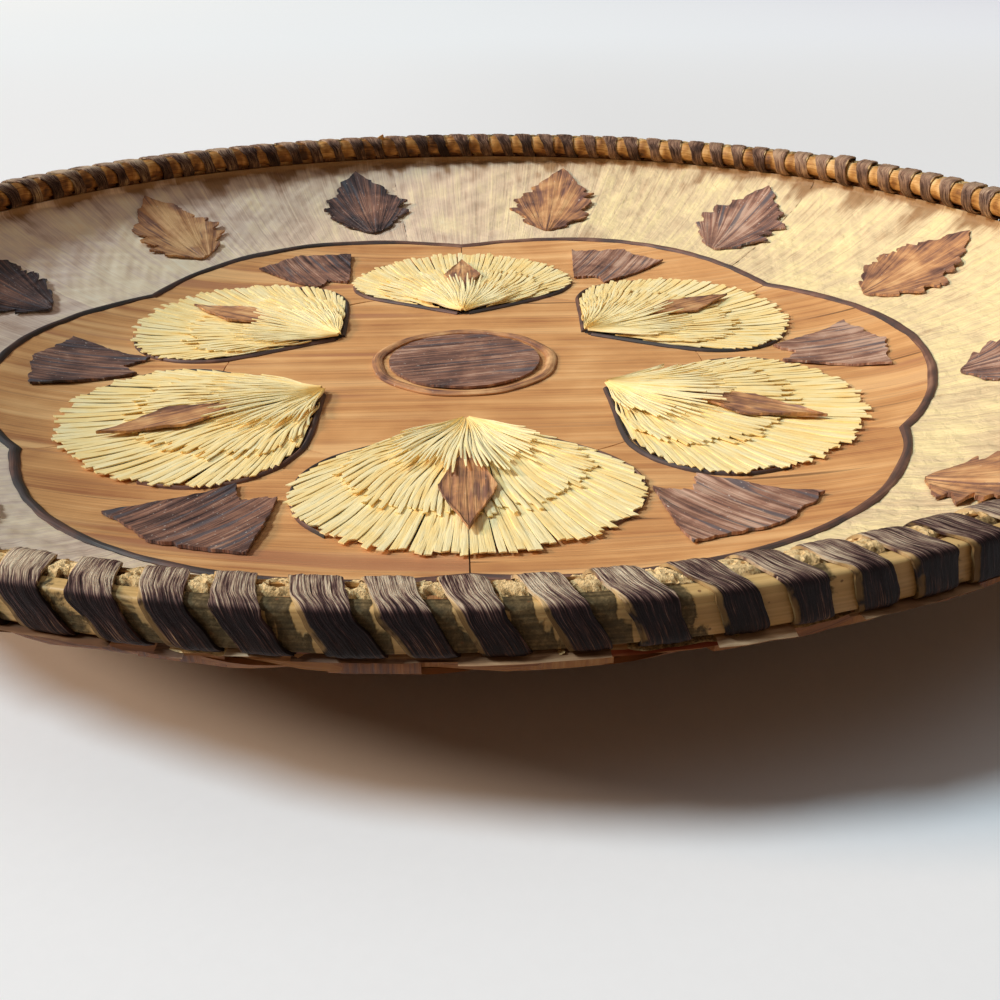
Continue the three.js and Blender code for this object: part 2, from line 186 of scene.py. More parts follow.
class Finish:
    """A material under construction."""

    def __init__(self, name):
        self.material = bpy.data.materials.new(name)
        self.material.use_nodes = True
        self.tree = self.material.node_tree
        self.shader = self.tree.nodes["Principled BSDF"]

    def node(self, kind, settings, inputs, output=0):
        """Add a node: its settings first, then the values or links of its sockets."""
        made = self.tree.nodes.new(kind)
        for key, value in settings.items():
            if key == "stops":
                self.set_stops(made.color_ramp, value)
            else:
                setattr(made, key, value)
        for key, value in inputs.items():
            self.feed(made.inputs[key], value)
        return Signal(self, made.outputs[output])

    def set_stops(self, ramp, stops):
        while len(ramp.elements) < len(stops):
            ramp.elements.new(1)
        for element, (place, colour) in zip(ramp.elements, stops):
            element.position = place
            element.color = (*colour, 1)

    def feed(self, socket, value):
        if isinstance(value, Signal):
            self.tree.links.new(value.socket, socket)
        elif isinstance(value, tuple) and len(value) == 3 and socket.type == "RGBA":
            socket.default_value = (*value, 1)
        else:
            socket.default_value = value

    def place(self, axis=None):
        """Where a point lies in the tray, as a vector or along one axis."""
        spot = self.node("ShaderNodeTexCoord", {}, {}, "Object")
        return spot if axis is None else self.node("ShaderNodeSeparateXYZ", {}, {0: spot}, axis)

    def uv(self, along=1.0, across=1.0):
        """The piece's own UV map, in metres along and across the grain, times a scale for each."""
        flat = self.node("ShaderNodeTexCoord", {}, {}, "UV")
        return self.node("ShaderNodeMapping", {}, {"Vector": flat, "Scale": (along, across, 1)})

    def noise(self, at, scale=1.0, detail=3.0, roughness=0.55, distortion=0.0):
        inputs = {"Vector": at, "Scale": scale, "Detail": detail, "Roughness": roughness}
        inputs["Distortion"] = distortion
        return self.node("ShaderNodeTexNoise", {}, inputs)

    def grain(self, along, across, **settings):
        """Noise that follows the grain, with so many waves in a metre along and across it."""
        return self.noise(self.uv(along, across), **settings)

    def cloud(self, size, **settings):
        """Noise in patches of one size."""
        return self.noise(self.place(), scale=1 / size, **settings)

    def attribute(self, name):
        return self.node("ShaderNodeAttribute", {"attribute_name": name}, {}, "Fac")

    def ramp(self, signal, *stops):
        return self.node("ShaderNodeValToRGB", {"stops": stops}, {"Fac": signal})

    def band(self, signal, low, high):
        """0 below low, 1 above high, and smooth between. The two may be given the other way round."""
        settings = {"interpolation_type": "SMOOTHSTEP"}
        flip = low > high
        inputs = {"Value": signal, "From Min": min(low, high), "From Max": max(low, high)}
        inputs["To Min"] = 1.0 if flip else 0.0
        inputs["To Max"] = 0.0 if flip else 1.0
        return self.node("ShaderNodeMapRange", settings, inputs)

    def mix(self, mask, first, second, blend="MIX"):
        settings = {"data_type": "RGBA", "blend_type": blend}
        return self.node("ShaderNodeMix", settings, {0: mask, 6: first, 7: second}, 2)

    def surface(self, colour, roughness, height=None, depth=0.0002, shine=0.5):
        """Send the colour, roughness and relief to the shader. shine is less where a thing is dry."""
        self.shader.inputs["Specular IOR Level"].default_value = shine
        self.feed(self.shader.inputs["Base Color"], colour)
        self.feed(self.shader.inputs["Roughness"], roughness)
        if height is not None:
            normal = self.node("ShaderNodeBump", {}, {"Height": height, "Distance": depth, "Strength": 1.0})
            self.feed(self.shader.inputs["Normal"], normal)
        return self.material


print("sums ready:", [name for name in vars(Signal) if name.startswith("__r")])

# %% [markdown]
# Dried leaf and bark are made of long fibres. Their colour changes quickly across the grain and slowly
# along it, as a noise texture does whose coordinates are squeezed along the grain. The UV map of every
# piece is in metres, so one recipe serves them all, and its "tone" makes some parts lighter or darker.

# %% The recipe for fibre
dry_shine = 0.3
ramp_low, ramp_high = 0.2, 0.8  # where the darkest and the lightest tone lie
specks_in_metre = (900, 2600)


def fibre_finish(name, tones, hair=0.0004, streak=0.003, length=0.03, patch=0.02, patchy=0.7,
                 streaky=0.6, hairy=0.4, gloss=0.6, relief=0.0003, specks=None, speckle=0.67,
                 cast=None, cast_share=0.5):
    """Dried leaf or bark. tones run from dark to light, hair and streak are widths across the grain."""
    finish = Finish(name)
    fine = finish.grain(1 / length, 1 / hair, detail=2.0, roughness=0.6)
    broad = finish.grain(0.35 / length, 1 / streak)
    cloud = finish.cloud(patch, distortion=0.3)
    shade = 0.5 + hairy * (fine - 0.5) + streaky * (broad - 0.5) + patchy * (cloud - 0.5)
    places = np.linspace(ramp_low, ramp_high, len(tones)).tolist()
    colour = finish.ramp(shade + finish.attribute("tone"), *zip(places, tones))
    if cast:
        strands = finish.grain(0.5 / length, 1 / (1.6 * streak), detail=2.0)
        edge = 0.5 + 0.35 * (0.5 - cast_share)
        colour = finish.mix(finish.band(strands, edge, edge + 0.09) * 0.75, colour, cast)
    if specks:
        dust = finish.grain(*specks_in_metre, detail=1.0)
        colour = finish.mix(finish.band(dust, speckle, speckle + 0.07), colour, specks)
    return finish, colour, gloss + 0.2 * (fine - 0.5), fine * 0.6 + broad * 0.4, relief


def plain_fibre(*args, **settings):
    finish, *look = fibre_finish(*args, **settings)
    return finish.surface(*look, shine=dry_shine)


def cream_finish():
    """Cream leaf: greyish on the shaded left of the tray and yellow on the lit right, as painted light, and
    brown where its tone is low, a stain with painted shade under the rim.
    """
    tones = [
        (0.30, 0.16, 0.10), (0.56, 0.40, 0.32), (0.77, 0.61, 0.51), (0.92, 0.76, 0.56), (0.96, 0.86, 0.71)]
    finish, colour, roughness, height, relief = fibre_finish(
        "cream_leaf", tones, hair=0.0006, streak=0.0019, length=0.018, patch=0.014, patchy=0.55,
        streaky=0.42, hairy=0.36, gloss=0.62)
    sideways = finish.place("X")
    cloud = finish.noise(finish.place(), scale=18.0, detail=2.0) - 0.5
    # Painted light: the leaf is greyer on the left of the tray, which lies in shade, and yellower on the
    # lit right.
    tint = finish.ramp(
        sideways * 2.5 + 0.5 + 0.4 * cloud, (0.05, (1.0, 0.98, 0.97)), (0.45, (1.0, 0.97, 0.84)),
        (0.66, (0.96, 0.94, 0.68)), (0.92, (1.0, 0.98, 0.66)))
    colour = finish.mix(1.0, colour, tint, "MULTIPLY")
    # Painted shade with staining: where the tone is low, under the rim, the leaf turns golden brown.
    brown_and_shade = finish.band(finish.attribute("tone") + 0.12 * cloud, -0.09, -0.30)
    colour = finish.mix(brown_and_shade * 0.85, colour, (0.36, 0.205, 0.090))
    crinkle = finish.noise(finish.place(), scale=260.0, distortion=0.6)
    height = height + 2.6 * finish.band(sideways, -0.03, 0.08) * crinkle
    return finish.surface(colour, roughness, height, relief, shine=dry_shine)


cream_leaf = cream_finish()
fringe_leaf = plain_fibre(
    "fringe_leaf", [(0.62, 0.34, 0.10), (0.95, 0.65, 0.23), (0.99, 0.77, 0.34), (0.99, 0.86, 0.49)],
    streak=0.0012, length=0.006, patch=0.006, patchy=0.45, streaky=0.4, gloss=0.65, relief=0.00025)
dark_bark = plain_fibre(
    "dark_bark", [(0.034, 0.025, 0.027), (0.130, 0.072, 0.060), (0.33, 0.165, 0.110), (0.60, 0.39, 0.28)],
    hair=0.00034, streak=0.0013, length=0.016, patch=0.010, streaky=0.95, hairy=0.7, gloss=0.5,
    relief=0.00035, specks=(0.66, 0.58, 0.50), speckle=0.69, cast=(0.095, 0.098, 0.115), cast_share=0.35)
red_bark = plain_fibre(
    "red_bark", [(0.10, 0.050, 0.042), (0.30, 0.145, 0.085), (0.56, 0.275, 0.122), (0.76, 0.45, 0.21)],
    hair=0.00036, streak=0.0015, length=0.010, patch=0.008, patchy=1.0, streaky=0.8, hairy=0.6,
    gloss=0.5, specks=(0.76, 0.64, 0.52), speckle=0.72, cast=(0.17, 0.085, 0.075), cast_share=0.3)
mat_leaf = plain_fibre(
    "mat_leaf", [(0.11, 0.035, 0.012), (0.34, 0.14, 0.05), (0.50, 0.26, 0.10), (0.62, 0.40, 0.19)],
    hair=0.0005, streak=0.002, patch=0.012, patchy=0.6, hairy=0.5)
pale_sheath = plain_fibre(
    "pale_sheath", [(0.12, 0.055, 0.025), (0.32, 0.175, 0.088), (0.52, 0.33, 0.18), (0.74, 0.54, 0.34)],
    hair=0.00024, streak=0.0007, length=0.02, patch=0.008, patchy=0.9, streaky=0.9, hairy=0.8,
    relief=0.00025)
red_sheath = plain_fibre(
    "red_sheath", [(0.035, 0.006, 0.004), (0.13, 0.022, 0.010), (0.27, 0.060, 0.024), (0.50, 0.22, 0.10)],
    hair=0.0006, streak=0.002, patch=0.012, gloss=0.28, relief=0.0001)
outline_leaf = plain_fibre(
    "outline_leaf",
    [(0.040, 0.042, 0.040), (0.070, 0.050, 0.046), (0.16, 0.080, 0.058), (0.32, 0.18, 0.12)],
    streak=0.0012, length=0.012, patch=0.012, patchy=0.8, gloss=0.55)
print("fibre finishes:", len(bpy.data.materials))

# %% [markdown]
# The bark on the ground of the dish has long straight grain, with golden streaks that are a painted sheen,
# a few reddish bands and fine dark cracks that follow the grain.

# %% Tan bark
bark_marks = [
    # waves in a metre along and across, detail, distortion, band, share, colour
    (4.0, 70.0, 3.0, 0.2, (0.58, 0.66), 0.75, (0.46, 0.195, 0.100)),
    # painted sheen: golden streaks along the grain
    (5.0, 95.0, 4.0, 0.3, (0.50, 0.64), 0.60, (0.97, 0.59, 0.265)),
    (9.0, 620.0, 2.0, 0.0, (0.56, 0.70), 0.45, (0.50, 0.27, 0.13)),
    (11.0, 330.0, 1.0, 0.0, (0.70, 0.76), 0.75, (0.14, 0.06, 0.028)),
]


def tan_bark_finish():
    """Bark with its marks laid over the fibre: reddish, golden as a painted sheen, brown, and the sunken
    cracks last.
    """
    tones = [(0.42, 0.165, 0.068), (0.60, 0.285, 0.108), (0.75, 0.385, 0.150), (0.89, 0.52, 0.23)]
    finish, colour, roughness, height, relief = fibre_finish(
        "tan_bark", tones, hair=0.00045, length=0.05, patch=0.022, streaky=0.75, hairy=0.65, gloss=0.45)
    for along, across, detail, distortion, band, share, mark in bark_marks:
        streaks = finish.grain(along, across, detail=detail, distortion=distortion)
        marked = finish.band(streaks, *band)
        colour = finish.mix(marked * share, colour, mark)
    return finish.surface(colour, roughness, height - marked, relief, shine=0.35)


tan_bark = tan_bark_finish()

# %% [markdown]
# The lashing is a dark strip of leaf sheath with pale threads among its fibres. Over the top of the rim its
# tone is raised, a painted highlight where the light rakes over the threads, and one edge of the strip
# keeps the sheath's pale margin, which shows as a light line on the left of every turn. On the far side,
# most on the left, the strip is browner, darker and smoother, partly as painted shade.

# %% Lashing finish
strip_width = 0.0062
strip_margin = 0.00085
thread_length, thread_width = 0.0055, 0.00025
olive_from, olive_full = 0.0385, 0.0345  # heights on the face of the rim


def lashing_finish():
    finish = Finish("lashing_fibre")
    threads = finish.grain(1 / thread_length, 1 / thread_width, roughness=0.70, distortion=0.12)
    slow = finish.grain(1 / 0.012, 1 / 0.0012, detail=2.0)
    cloud = finish.cloud(0.006)
    tone = finish.attribute("tone")
    soft = 0.47 + 0.65 * (threads - 0.5) + 0.4 * (slow - 0.5) + 0.6 * (cloud - 0.5) + tone
    colour = finish.ramp(
        soft + 1.2 * (threads - 0.5), (0.20, (0.012, 0.0065, 0.007)), (0.40, (0.058, 0.029, 0.028)),
        (0.54, (0.18, 0.105, 0.088)), (0.70, (0.48, 0.36, 0.25)), (0.90, (0.76, 0.64, 0.46)))
    # Partly painted shade: on the far side, most on its left, the strip takes this darker, browner ramp
    # without pale threads.
    brown_and_shade = finish.ramp(
        soft, (0.36, (0.022, 0.011, 0.007)), (0.50, (0.085, 0.042, 0.026)),
        (0.62, (0.26, 0.140, 0.090)), (0.80, (0.50, 0.30, 0.18)))
    to_left = 0.35 + 0.45 * finish.band(finish.place("X"), -0.12, -0.03)
    colour = finish.mix(finish.band(finish.place("Y"), -0.03, 0.08) * to_left, colour, brown_and_shade)
    low = finish.band(finish.place("Z"), olive_from, olive_full)
    colour = finish.mix(low * 0.8, colour, (1.0, 0.86, 0.60), "MULTIPLY")
    across = finish.node("ShaderNodeSeparateXYZ", {}, {0: finish.uv()}, "Y")
    wander = 0.0011 * (finish.grain(260, 0) - 0.5)
    margin = finish.band(across + wander, strip_margin * 1.15, strip_margin * 0.75)
    margin = margin * finish.band(cloud, 0.42, 0.52)
    pale = finish.ramp(
        slow + 1.4 * tone, (0.2, (0.19, 0.115, 0.045)), (0.5, (0.46, 0.30, 0.13)),
        (0.8, (0.72, 0.52, 0.27)))
    colour = finish.mix(margin * 0.92, colour, pale)
    relief = threads * (1 - 0.8 * margin)
    return finish.surface(colour, 0.68 - 0.2 * threads, relief, 0.0004, shine=0.12)


lashing_fibre = lashing_finish()

# %% [markdown]
# The outer hoop is a split strip with its smooth, pale skin outwards. It has brown specks and olive-black
# stains. The inner hoop is a split cane, more orange, with a slight gloss. Between them the cut edge of
# the leaf sheaths is full of air cells, and its pits are painted dark as shade.


# %% Hoop finishes
def outer_hoop_finish():
    finish = Finish("pale_split_hoop")
    grain = finish.grain(12, 1 / 0.0005, detail=2.0)
    long = finish.grain(20, 1 / 0.003)
    colour = finish.ramp(
        0.5 + 0.3 * (grain - 0.5) + 0.6 * (long - 0.5), (0.3, (0.32, 0.185, 0.068)),
        (0.5, (0.57, 0.37, 0.145)), (0.7, (0.80, 0.56, 0.26)))
    stains = finish.cloud(0.011, detail=5.0, roughness=0.65, distortion=0.6)
    stained = finish.band(stains + finish.attribute("tone"), 0.42, 0.50)
    mottle = finish.cloud(0.0011, detail=4.0, roughness=0.7)
    olive = finish.ramp(
        0.35 * grain + 0.65 * mottle, (0.38, (0.014, 0.010, 0.004)), (0.50, (0.060, 0.042, 0.018)),
        (0.64, (0.19, 0.135, 0.065)))
    colour = finish.mix(stained * 0.92, colour, olive)
    dots = finish.node("ShaderNodeTexVoronoi", {}, {"Vector": finish.place(), "Scale": 1 / 0.0022})
    colour = finish.mix(finish.band(dots, 0.13, 0.08) * 0.8, colour, (0.17, 0.08, 0.03))
    relief = grain + stained * (3.0 * mottle - 1.0)
    return finish.surface(colour, 0.45 + 0.3 * stained, relief, 0.00008, shine=0.25)


def inner_hoop_finish():
    finish = Finish("orange_split_cane")
    grain = finish.grain(30, 1 / 0.0005, roughness=0.7)
    cloud = finish.cloud(0.006, detail=4.0, distortion=0.4) - 0.5
    colour = finish.ramp(
        0.5 + 0.6 * (grain - 0.5) + cloud + finish.attribute("tone"), (0.22, (0.062, 0.022, 0.006)),
        (0.40, (0.26, 0.100, 0.020)), (0.58, (0.55, 0.275, 0.078)), (0.80, (0.84, 0.54, 0.235)))
    return finish.surface(colour, 0.55 + 0.2 * cloud, grain, 0.00015, shine=0.25)


def cut_edge_finish():
    finish = Finish("cut_leaf_edge")
    crumbs = finish.cloud(0.0006, detail=4.0, roughness=0.7)
    cloud = finish.cloud(0.012, detail=2.0)
    colour = finish.ramp(
        0.62 + 0.8 * (crumbs - 0.5) + 0.7 * (cloud - 0.5) + finish.attribute("tone"),
        (0.10, (0.018, 0.011, 0.006)), (0.32, (0.17, 0.105, 0.045)), (0.52, (0.58, 0.375, 0.160)),
        (0.76, (0.93, 0.68, 0.345)))
    return finish.surface(colour, 0.75, crumbs, 0.0005, shine=0.15)


pale_hoop = outer_hoop_finish()
orange_cane = inner_hoop_finish()
cut_edge = cut_edge_finish()
print("finishes:", len(bpy.data.materials))

# %% [markdown]
# The tray stands on a pale floor, wide enough to fill every view. It is stage, not part of the object.
# In the photograph little light comes back from the floor onto the near side of the rim, but much on the
# left. So the floor is pale for the camera and for gloss, and for the light that it passes on it is duller,
# except on the left.

# %% Floor
floor_size = 12.0
floor_colour = (0.850, 0.860, 0.865)
# Painted light: the floor is painted brighter on the left, towards the window, and dimmer on the right,
# near and far.
floor_light_falloff = ((-1.2, 1.10), (-0.10, 1.05), (0.10, 0.955), (1.2, 0.98))
near_floor_falloff = [(x, tuple(share * channel for channel in floor_colour)) for x, share in floor_light_falloff]
far_floor_falloff = [(-1.5, (0.975, 1.0, 1.0)), (0.0, (0.90, 0.945, 0.97)), (1.5, (0.83, 0.85, 0.905))]
far_from, far_full = 0.35, 1.6
tooth_share = 0.02
bounce_left = (-0.17, (0.80, 0.74, 0.68))
bounce_right = (-0.07, (0.24, 0.150, 0.09))


def across_floor(finish, sideways, falls):
    """The floor's colour from left to right, with the window's light falling off painted in."""
    half = falls[-1][0]
    stops = [((x + half) / (2 * half), colour) for x, colour in falls]
    return finish.ramp(sideways * (0.5 / half) + 0.5, *stops)


def lay_floor():
    bpy.ops.mesh.primitive_plane_add(size=floor_size)
    floor = bpy.context.object
    floor.name = "floor"
    finish = Finish("floor_paper")
    tooth = finish.noise(finish.place(), scale=400.0, detail=2.0)
    sideways = finish.place("X")
    colour = finish.mix(
        finish.band(finish.place("Y"), far_from, far_full), across_floor(finish, sideways, near_floor_falloff),
        across_floor(finish, sideways, far_floor_falloff))
    colour = finish.mix(finish.band(tooth, 0.7, 0.3) * tooth_share, colour, (0.5, 0.5, 0.5))
    bright = finish.band(sideways, bounce_right[0], bounce_left[0])
    bounce = finish.mix(bright, bounce_right[1], bounce_left[1])
    camera, glossy, through = (
        finish.node("ShaderNodeLightPath", {}, {}, f"Is {ray} Ray")
        for ray in ("Camera", "Glossy", "Transmission"))
    seen = finish.node("ShaderNodeMath", {"operation": "MAXIMUM"}, {0: camera, 1: glossy + through})
    floor.data.materials.append(finish.surface(finish.mix(seen, bounce, colour), 0.9))
    return floor


floor = lay_floor()

# %% [markdown]
# The sizes of the tray are read from the solids. Only what a box can't tell is written here: the bend of
# the neck, the flat foot, and how deep each layer lies above the underside.

# %% Sizes from the frame
rim_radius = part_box("outer_hoop")[1].x
rim_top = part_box("outer_hoop")[1].z
hoop_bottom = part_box("outer_hoop")[0].z
hoop_height = rim_top - hoop_bottom
hoop_middle = (rim_top + hoop_bottom) / 2
inner_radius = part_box("inner_hoop")[1].x
mat_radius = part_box("base_mat")[1].x
foot_radius = 0.090
neck_radius = 0.005
neck_top = hoop_bottom - 0.0025
outer_thickness = 0.0022
inner_thickness = 0.0026
mat_thickness = 0.0022
lining_depth = 0.0025
sheet_thickness = 0.0006
bark_thickness = 0.0008
piece_depth = 0.0034
play = 0.0002  # keeps layers from touching

wall_run = mat_radius - neck_radius - foot_radius
wall_turn = 2 * math.atan2(neck_top - neck_radius, wall_run)
wall_radius = neck_radius + wall_run / math.sin(wall_turn)
wall_end = foot_radius + (wall_radius - piece_depth - bark_thickness) * math.sin(wall_turn)
neck_turn = math.pi / 2 - wall_turn
neck_run = foot_radius + wall_radius * wall_turn
upright_run = neck_run + neck_radius * neck_turn
print("wall radius in mm:", round(wall_radius * 1000, 1))

# %% [markdown]
# Every sheet follows the same dish: flat in the middle, a long curve up the wall, and a quick bend at the
# neck. One function gives a point on it from how far out the point lies along the underside, its angle
# round the tray, and its depth above the underside. A second one starts from a place seen from above.


# %% The surface of the dish
def rise(value, start, end):
    """0 at start, 1 at end, and straight between. The two may be given the other way round."""
    return np.clip((value - start) / (end - start), 0, 1)


def turned(x, y, angle):
    """A place in plan, turned about the middle of the tray."""
    return x * math.cos(angle) - y * math.sin(angle), x * math.sin(angle) + y * math.cos(angle)


def round_tray(radius, angle, height):
    """Points at a radius, angle and height, as an array of x, y and z."""
    return np.stack(np.broadcast_arrays(radius * np.cos(angle), radius * np.sin(angle), height), axis=-1)


def dish(run, angle, depth):
    """Points on the dish, as an array of x, y and z."""
    run, angle, depth = np.broadcast_arrays(run, angle, depth)
    turn = np.clip((run - foot_radius) / wall_radius, 0, wall_turn)
    tilt = turn + np.clip((run - neck_run) / neck_radius, 0, neck_turn)
    radius = np.minimum(run, foot_radius) + wall_radius * np.sin(turn)
    radius = radius + neck_radius * (np.sin(tilt) - np.sin(turn)) - depth * np.sin(tilt)
    height = wall_radius * (1 - np.cos(turn)) + neck_radius * (np.cos(turn) - np.cos(tilt))
    height = height + np.clip(run - upright_run, 0, None) + depth * np.cos(tilt)
    return round_tray(radius, angle, height)


def run_at(radius, depth=0.0):
    """How far out along the underside a point lies that is seen from above at a radius."""
    sine = np.clip((radius - foot_radius) / (wall_radius - depth), 0, math.sin(wall_turn))
    return np.where(radius < foot_radius, radius, foot_radius + wall_radius * np.arcsin(sine))


def on_dish(x, y, depth):
    """A point of the dish above a place in plan."""
    return dish(run_at(np.hypot(x, y), depth), np.arctan2(y, x), depth)


print("rim of the mat in mm:", np.round(dish(upright_run + 0.009, 0.0, 0.0) * 1000, 1))

# %% [markdown]
# Leaf sheets are thin closed blocks: a grid with a thickness from Solidify, modelled once for each grid
# size. Every sheet, blade or ribbon is a copy whose points a function then places. u and v run along and
# across the grain from 0 to 1, and side is 0 underneath and 1 on top.

# %% Blocks
blocks = {}


def solid_grid(columns, rows, ring):
    """Model a block by hand, and read it: u, v and side of its points, and its faces."""
    bpy.ops.mesh.primitive_grid_add(x_subdivisions=columns, y_subdivisions=rows, size=1)
    grid = bpy.context.object
    solidify = grid.modifiers.new("thickness", "SOLIDIFY")
    solidify.thickness = 1
    solidify.offset = 0
    bpy.ops.object.modifier_apply(modifier="thickness")
    at = np.array([v.co for v in grid.data.vertices])
    u, v, side = at[:, 0] + 0.5, at[:, 1] + 0.5, (at[:, 2] > 0).astype(float)
    faces = [tuple(face.vertices) for face in grid.data.polygons]
    if ring:
        start, stop = u < 1e-6, u > 1 - 1e-6
        faces = [f for f in faces if not (all(start[i] for i in f) or all(stop[i] for i in f))]
    bpy.data.objects.remove(grid)
    return u, v, side, faces


def part(columns, rows, place, ring=False):
    """Place one copy of a block. place(u, v, side) gives its points, its UV in metres and its tone."""
    key = (columns, rows, ring)
    if key not in blocks:
        blocks[key] = solid_grid(*key)
    u, v, side, faces = blocks[key]
    points, uv, tone = place(u, v, side)
    uv = np.stack(np.broadcast_arrays(uv[0], uv[1], u)[:2], axis=-1)
    return points, uv, np.broadcast_to(tone, u.shape), faces


def select_only(piece):
    bpy.ops.object.select_all(action="DESELECT")
    piece.select_set(True)
    bpy.context.view_layer.objects.active = piece


def new_object(name, points, edges, faces):
    mesh = bpy.data.meshes.new(name)
    mesh.from_pydata(points, edges, faces)
    made = bpy.data.objects.new(name, mesh)
    bpy.context.collection.objects.link(made)
    return made


def keep_tone(made, tone):
    """Store the tone of each point, which the finishes read."""
    spread = made.data.attributes.new("tone", "FLOAT", "POINT")
    spread.data.foreach_set("value", tone.astype(np.float32))


def build(name, parts, finish, nodes=(), sharp=40, merge=2e-6):
    """Join the parts in one mesh, close its seams, turn its faces out and put it in the tray."""
    starts = np.cumsum([0] + [len(p[0]) for p in parts])
    points, uv, tone = (np.concatenate([p[i] for p in parts]) for i in range(3))
    faces = [tuple(int(start + i) for i in f) for start, p in zip(starts, parts) for f in p[3]]
    made = new_object(name, points.tolist(), [], faces)
    corners = np.zeros(len(made.data.loops), dtype=np.int32)
    made.data.loops.foreach_get("vertex_index", corners)
    layer = made.data.uv_layers.new(name="UVMap")
    layer.data.foreach_set("uv", uv[corners].astype(np.float32).ravel())
    keep_tone(made, tone)
    select_only(made)
    bpy.ops.object.mode_set(mode="EDIT")
    bpy.ops.mesh.select_all(action="SELECT")
    bpy.ops.mesh.remove_doubles(threshold=merge)
    bpy.ops.mesh.normals_make_consistent(inside=False)
    bpy.ops.object.mode_set(mode="OBJECT")
    return settle(made, finish, nodes, sharp)


def settle(made, finish, nodes, sharp):
    """Smooth a piece, give it its finish, and let it stand for its solids."""
    bpy.ops.object.shade_smooth_by_angle(angle=math.radians(sharp))
    made.data.materials.clear()
    made.data.materials.append(finish)
    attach(made, "root")
    if nodes:
        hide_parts(*nodes)
    made.select_set(False)
    return made


def faces_in(pieces):
    return sum(len(piece.data.polygons) for piece in pieces)


print("a block of 4 by 2 faces:", len(solid_grid(4, 2, False)[3]), "faces")

# %% [markdown]
# Nothing on a hand-made tray is even. Some helpers give unevenness that is the same on every run: a gentle
# relief made of a few waves, and a comb of ridges with random heights, for fibres. Others give the section
# of a crowned strip and a smooth line through points.


# %% Unevenness
def ripple(x, y, wave, seed, count=5):
    """A gentle relief between -1 and 1, whose waves are about this long."""
    rng = np.random.default_rng(seed)
    total = 0
    for _ in range(count):
        heading, phase = rng.uniform(0, 2 * math.pi, 2)
        length = wave * rng.uniform(0.6, 1.7)
        along = x * math.cos(heading) + y * math.sin(heading)
        total = total + np.sin(along * 2 * math.pi / length + phase)
    return total / count


def ripples(x, y, *sizes):
    """Several reliefs, one on another. Each row of sizes gives a height, a wave and a seed."""
    return sum(height * ripple(x, y, wave, seed) for height, wave, seed in sizes)


def rim_ripple(angle, wave, seed):
    """A gentle relief that closes round the tray, with its waves as shares of the radius."""
    return ripple(np.cos(angle), np.sin(angle), wave, seed)


def comb(across, pitch, seed, knots=4096):
    """Ridges between -1 and 1 across a direction, one every pitch."""
    heights = np.random.default_rng(seed).uniform(-1, 1, knots)
    return np.interp(np.asarray(across) / pitch % knots, np.arange(knots), heights)


def combs(across, sizes, seed, step=1):
    """Several combs, one on another. Each row of sizes gives a height and a pitch."""
    return sum(
        height * comb(across, pitch, seed + step * row) for row, (height, pitch) in enumerate(sizes))


def crowned(v, edge, middle):
    """The height of a strip that is thicker along its middle than at its edges."""
    return edge + middle * (1 - (2 * v - 1) ** 2)


def sample(at, values):
    """Values between numbered ones."""
    return np.interp(at, np.arange(len(values)), values)


def rounded(points, samples):
    """A smooth line through points: each stretch is a Catmull-Rom curve."""
    points = np.asarray(points, float)
    padded = np.concatenate([[2 * points[0] - points[1]], points, [2 * points[-1] - points[-2]]])
    at = np.linspace(0, len(points) - 1 - 1e-9, samples)
    start = at.astype(int)
    t = (at - start)[:, None]
    before, here, after, later = (padded[start + i] for i in range(4))
    return here + 0.5 * t * (after - before + t * (
        2 * before - 5 * here + 4 * after - later + t * (3 * (here - after) + later - before)))


print("comb:", np.round(comb([0, 0.001, 0.002], 0.001, 1), 2))

# %% [markdown]
# The base mat is plaited: flat ribbons of leaf sheath go over and under each other in two directions. On
# the real tray it was plaited flat and pressed into the dish, so the ribbons are laid out straight on a
# flattened disc here, and the disc is then bent. Each ribbon bobs up and down once every two crossings.

# %% Plaited mat
ribbon_pitch = 0.0125
ribbon_gap = 0.0005
ribbon_thickness = 0.0008
ribbon_bob = 0.00045
ribbon_rib = 0.00006
mat_run = upright_run + rim_top - neck_top - 0.0003


def ribbon(place_across, index, lengthwise):
    """One ribbon of the mat, from rim to rim."""
    rng = np.random.default_rng(5000 + index + 500 * lengthwise)
    reach = math.sqrt(max(mat_run ** 2 - place_across ** 2, 0))
    steps = max(8, int(2 * reach / ribbon_pitch * 4))
    tint = rng.uniform(-0.16, 0.12) - (0.2 if rng.random() < 0.22 else 0)
    side_step = rng.uniform(-0.0003, 0.0003)

    def place(u, v, side):
        across = place_across + side_step + (v - 0.5) * (ribbon_pitch - ribbon_gap)
        across = np.clip(across, -mat_run, mat_run)
        along = (2 * u - 1) * np.sqrt(mat_run ** 2 - across ** 2)
        phase = math.pi * (along / ribbon_pitch + index + lengthwise)
        lift = mat_thickness / 2 + ribbon_bob * np.sin(phase) + (side - 0.5) * ribbon_thickness
        lift = lift + ribbon_rib * comb(across, 0.001, 61 + index)
        x, y = (across, along) if lengthwise else (along, across)
        uv = (along + index * 0.7, across + index * 0.31)
        return dish(np.hypot(x, y), np.arctan2(y, x), np.maximum(lift, play / 4)), uv, tint

    return part(steps, 4, place)


def plaited_mat():
    count = int(mat_run / ribbon_pitch)
    ribbons = [
        ribbon(index * ribbon_pitch, index, lengthwise)
        for lengthwise in (0, 1) for index in range(-count, count + 1)
    ]
    return build("plaited_mat", ribbons, mat_leaf, ["base_mat"])


mat = plaited_mat()
print("faces in the mat:", faces_in([mat]))

# %% [markdown]
# The hoops are rings: a section is drawn once and spun round. The outer one is a flat strip with worn
# corners, and the inner one is half-round with its flat side against the mat. Both wander a little, as a
# split strip does, and on the far side they stand a little higher between the turns of the lashing.

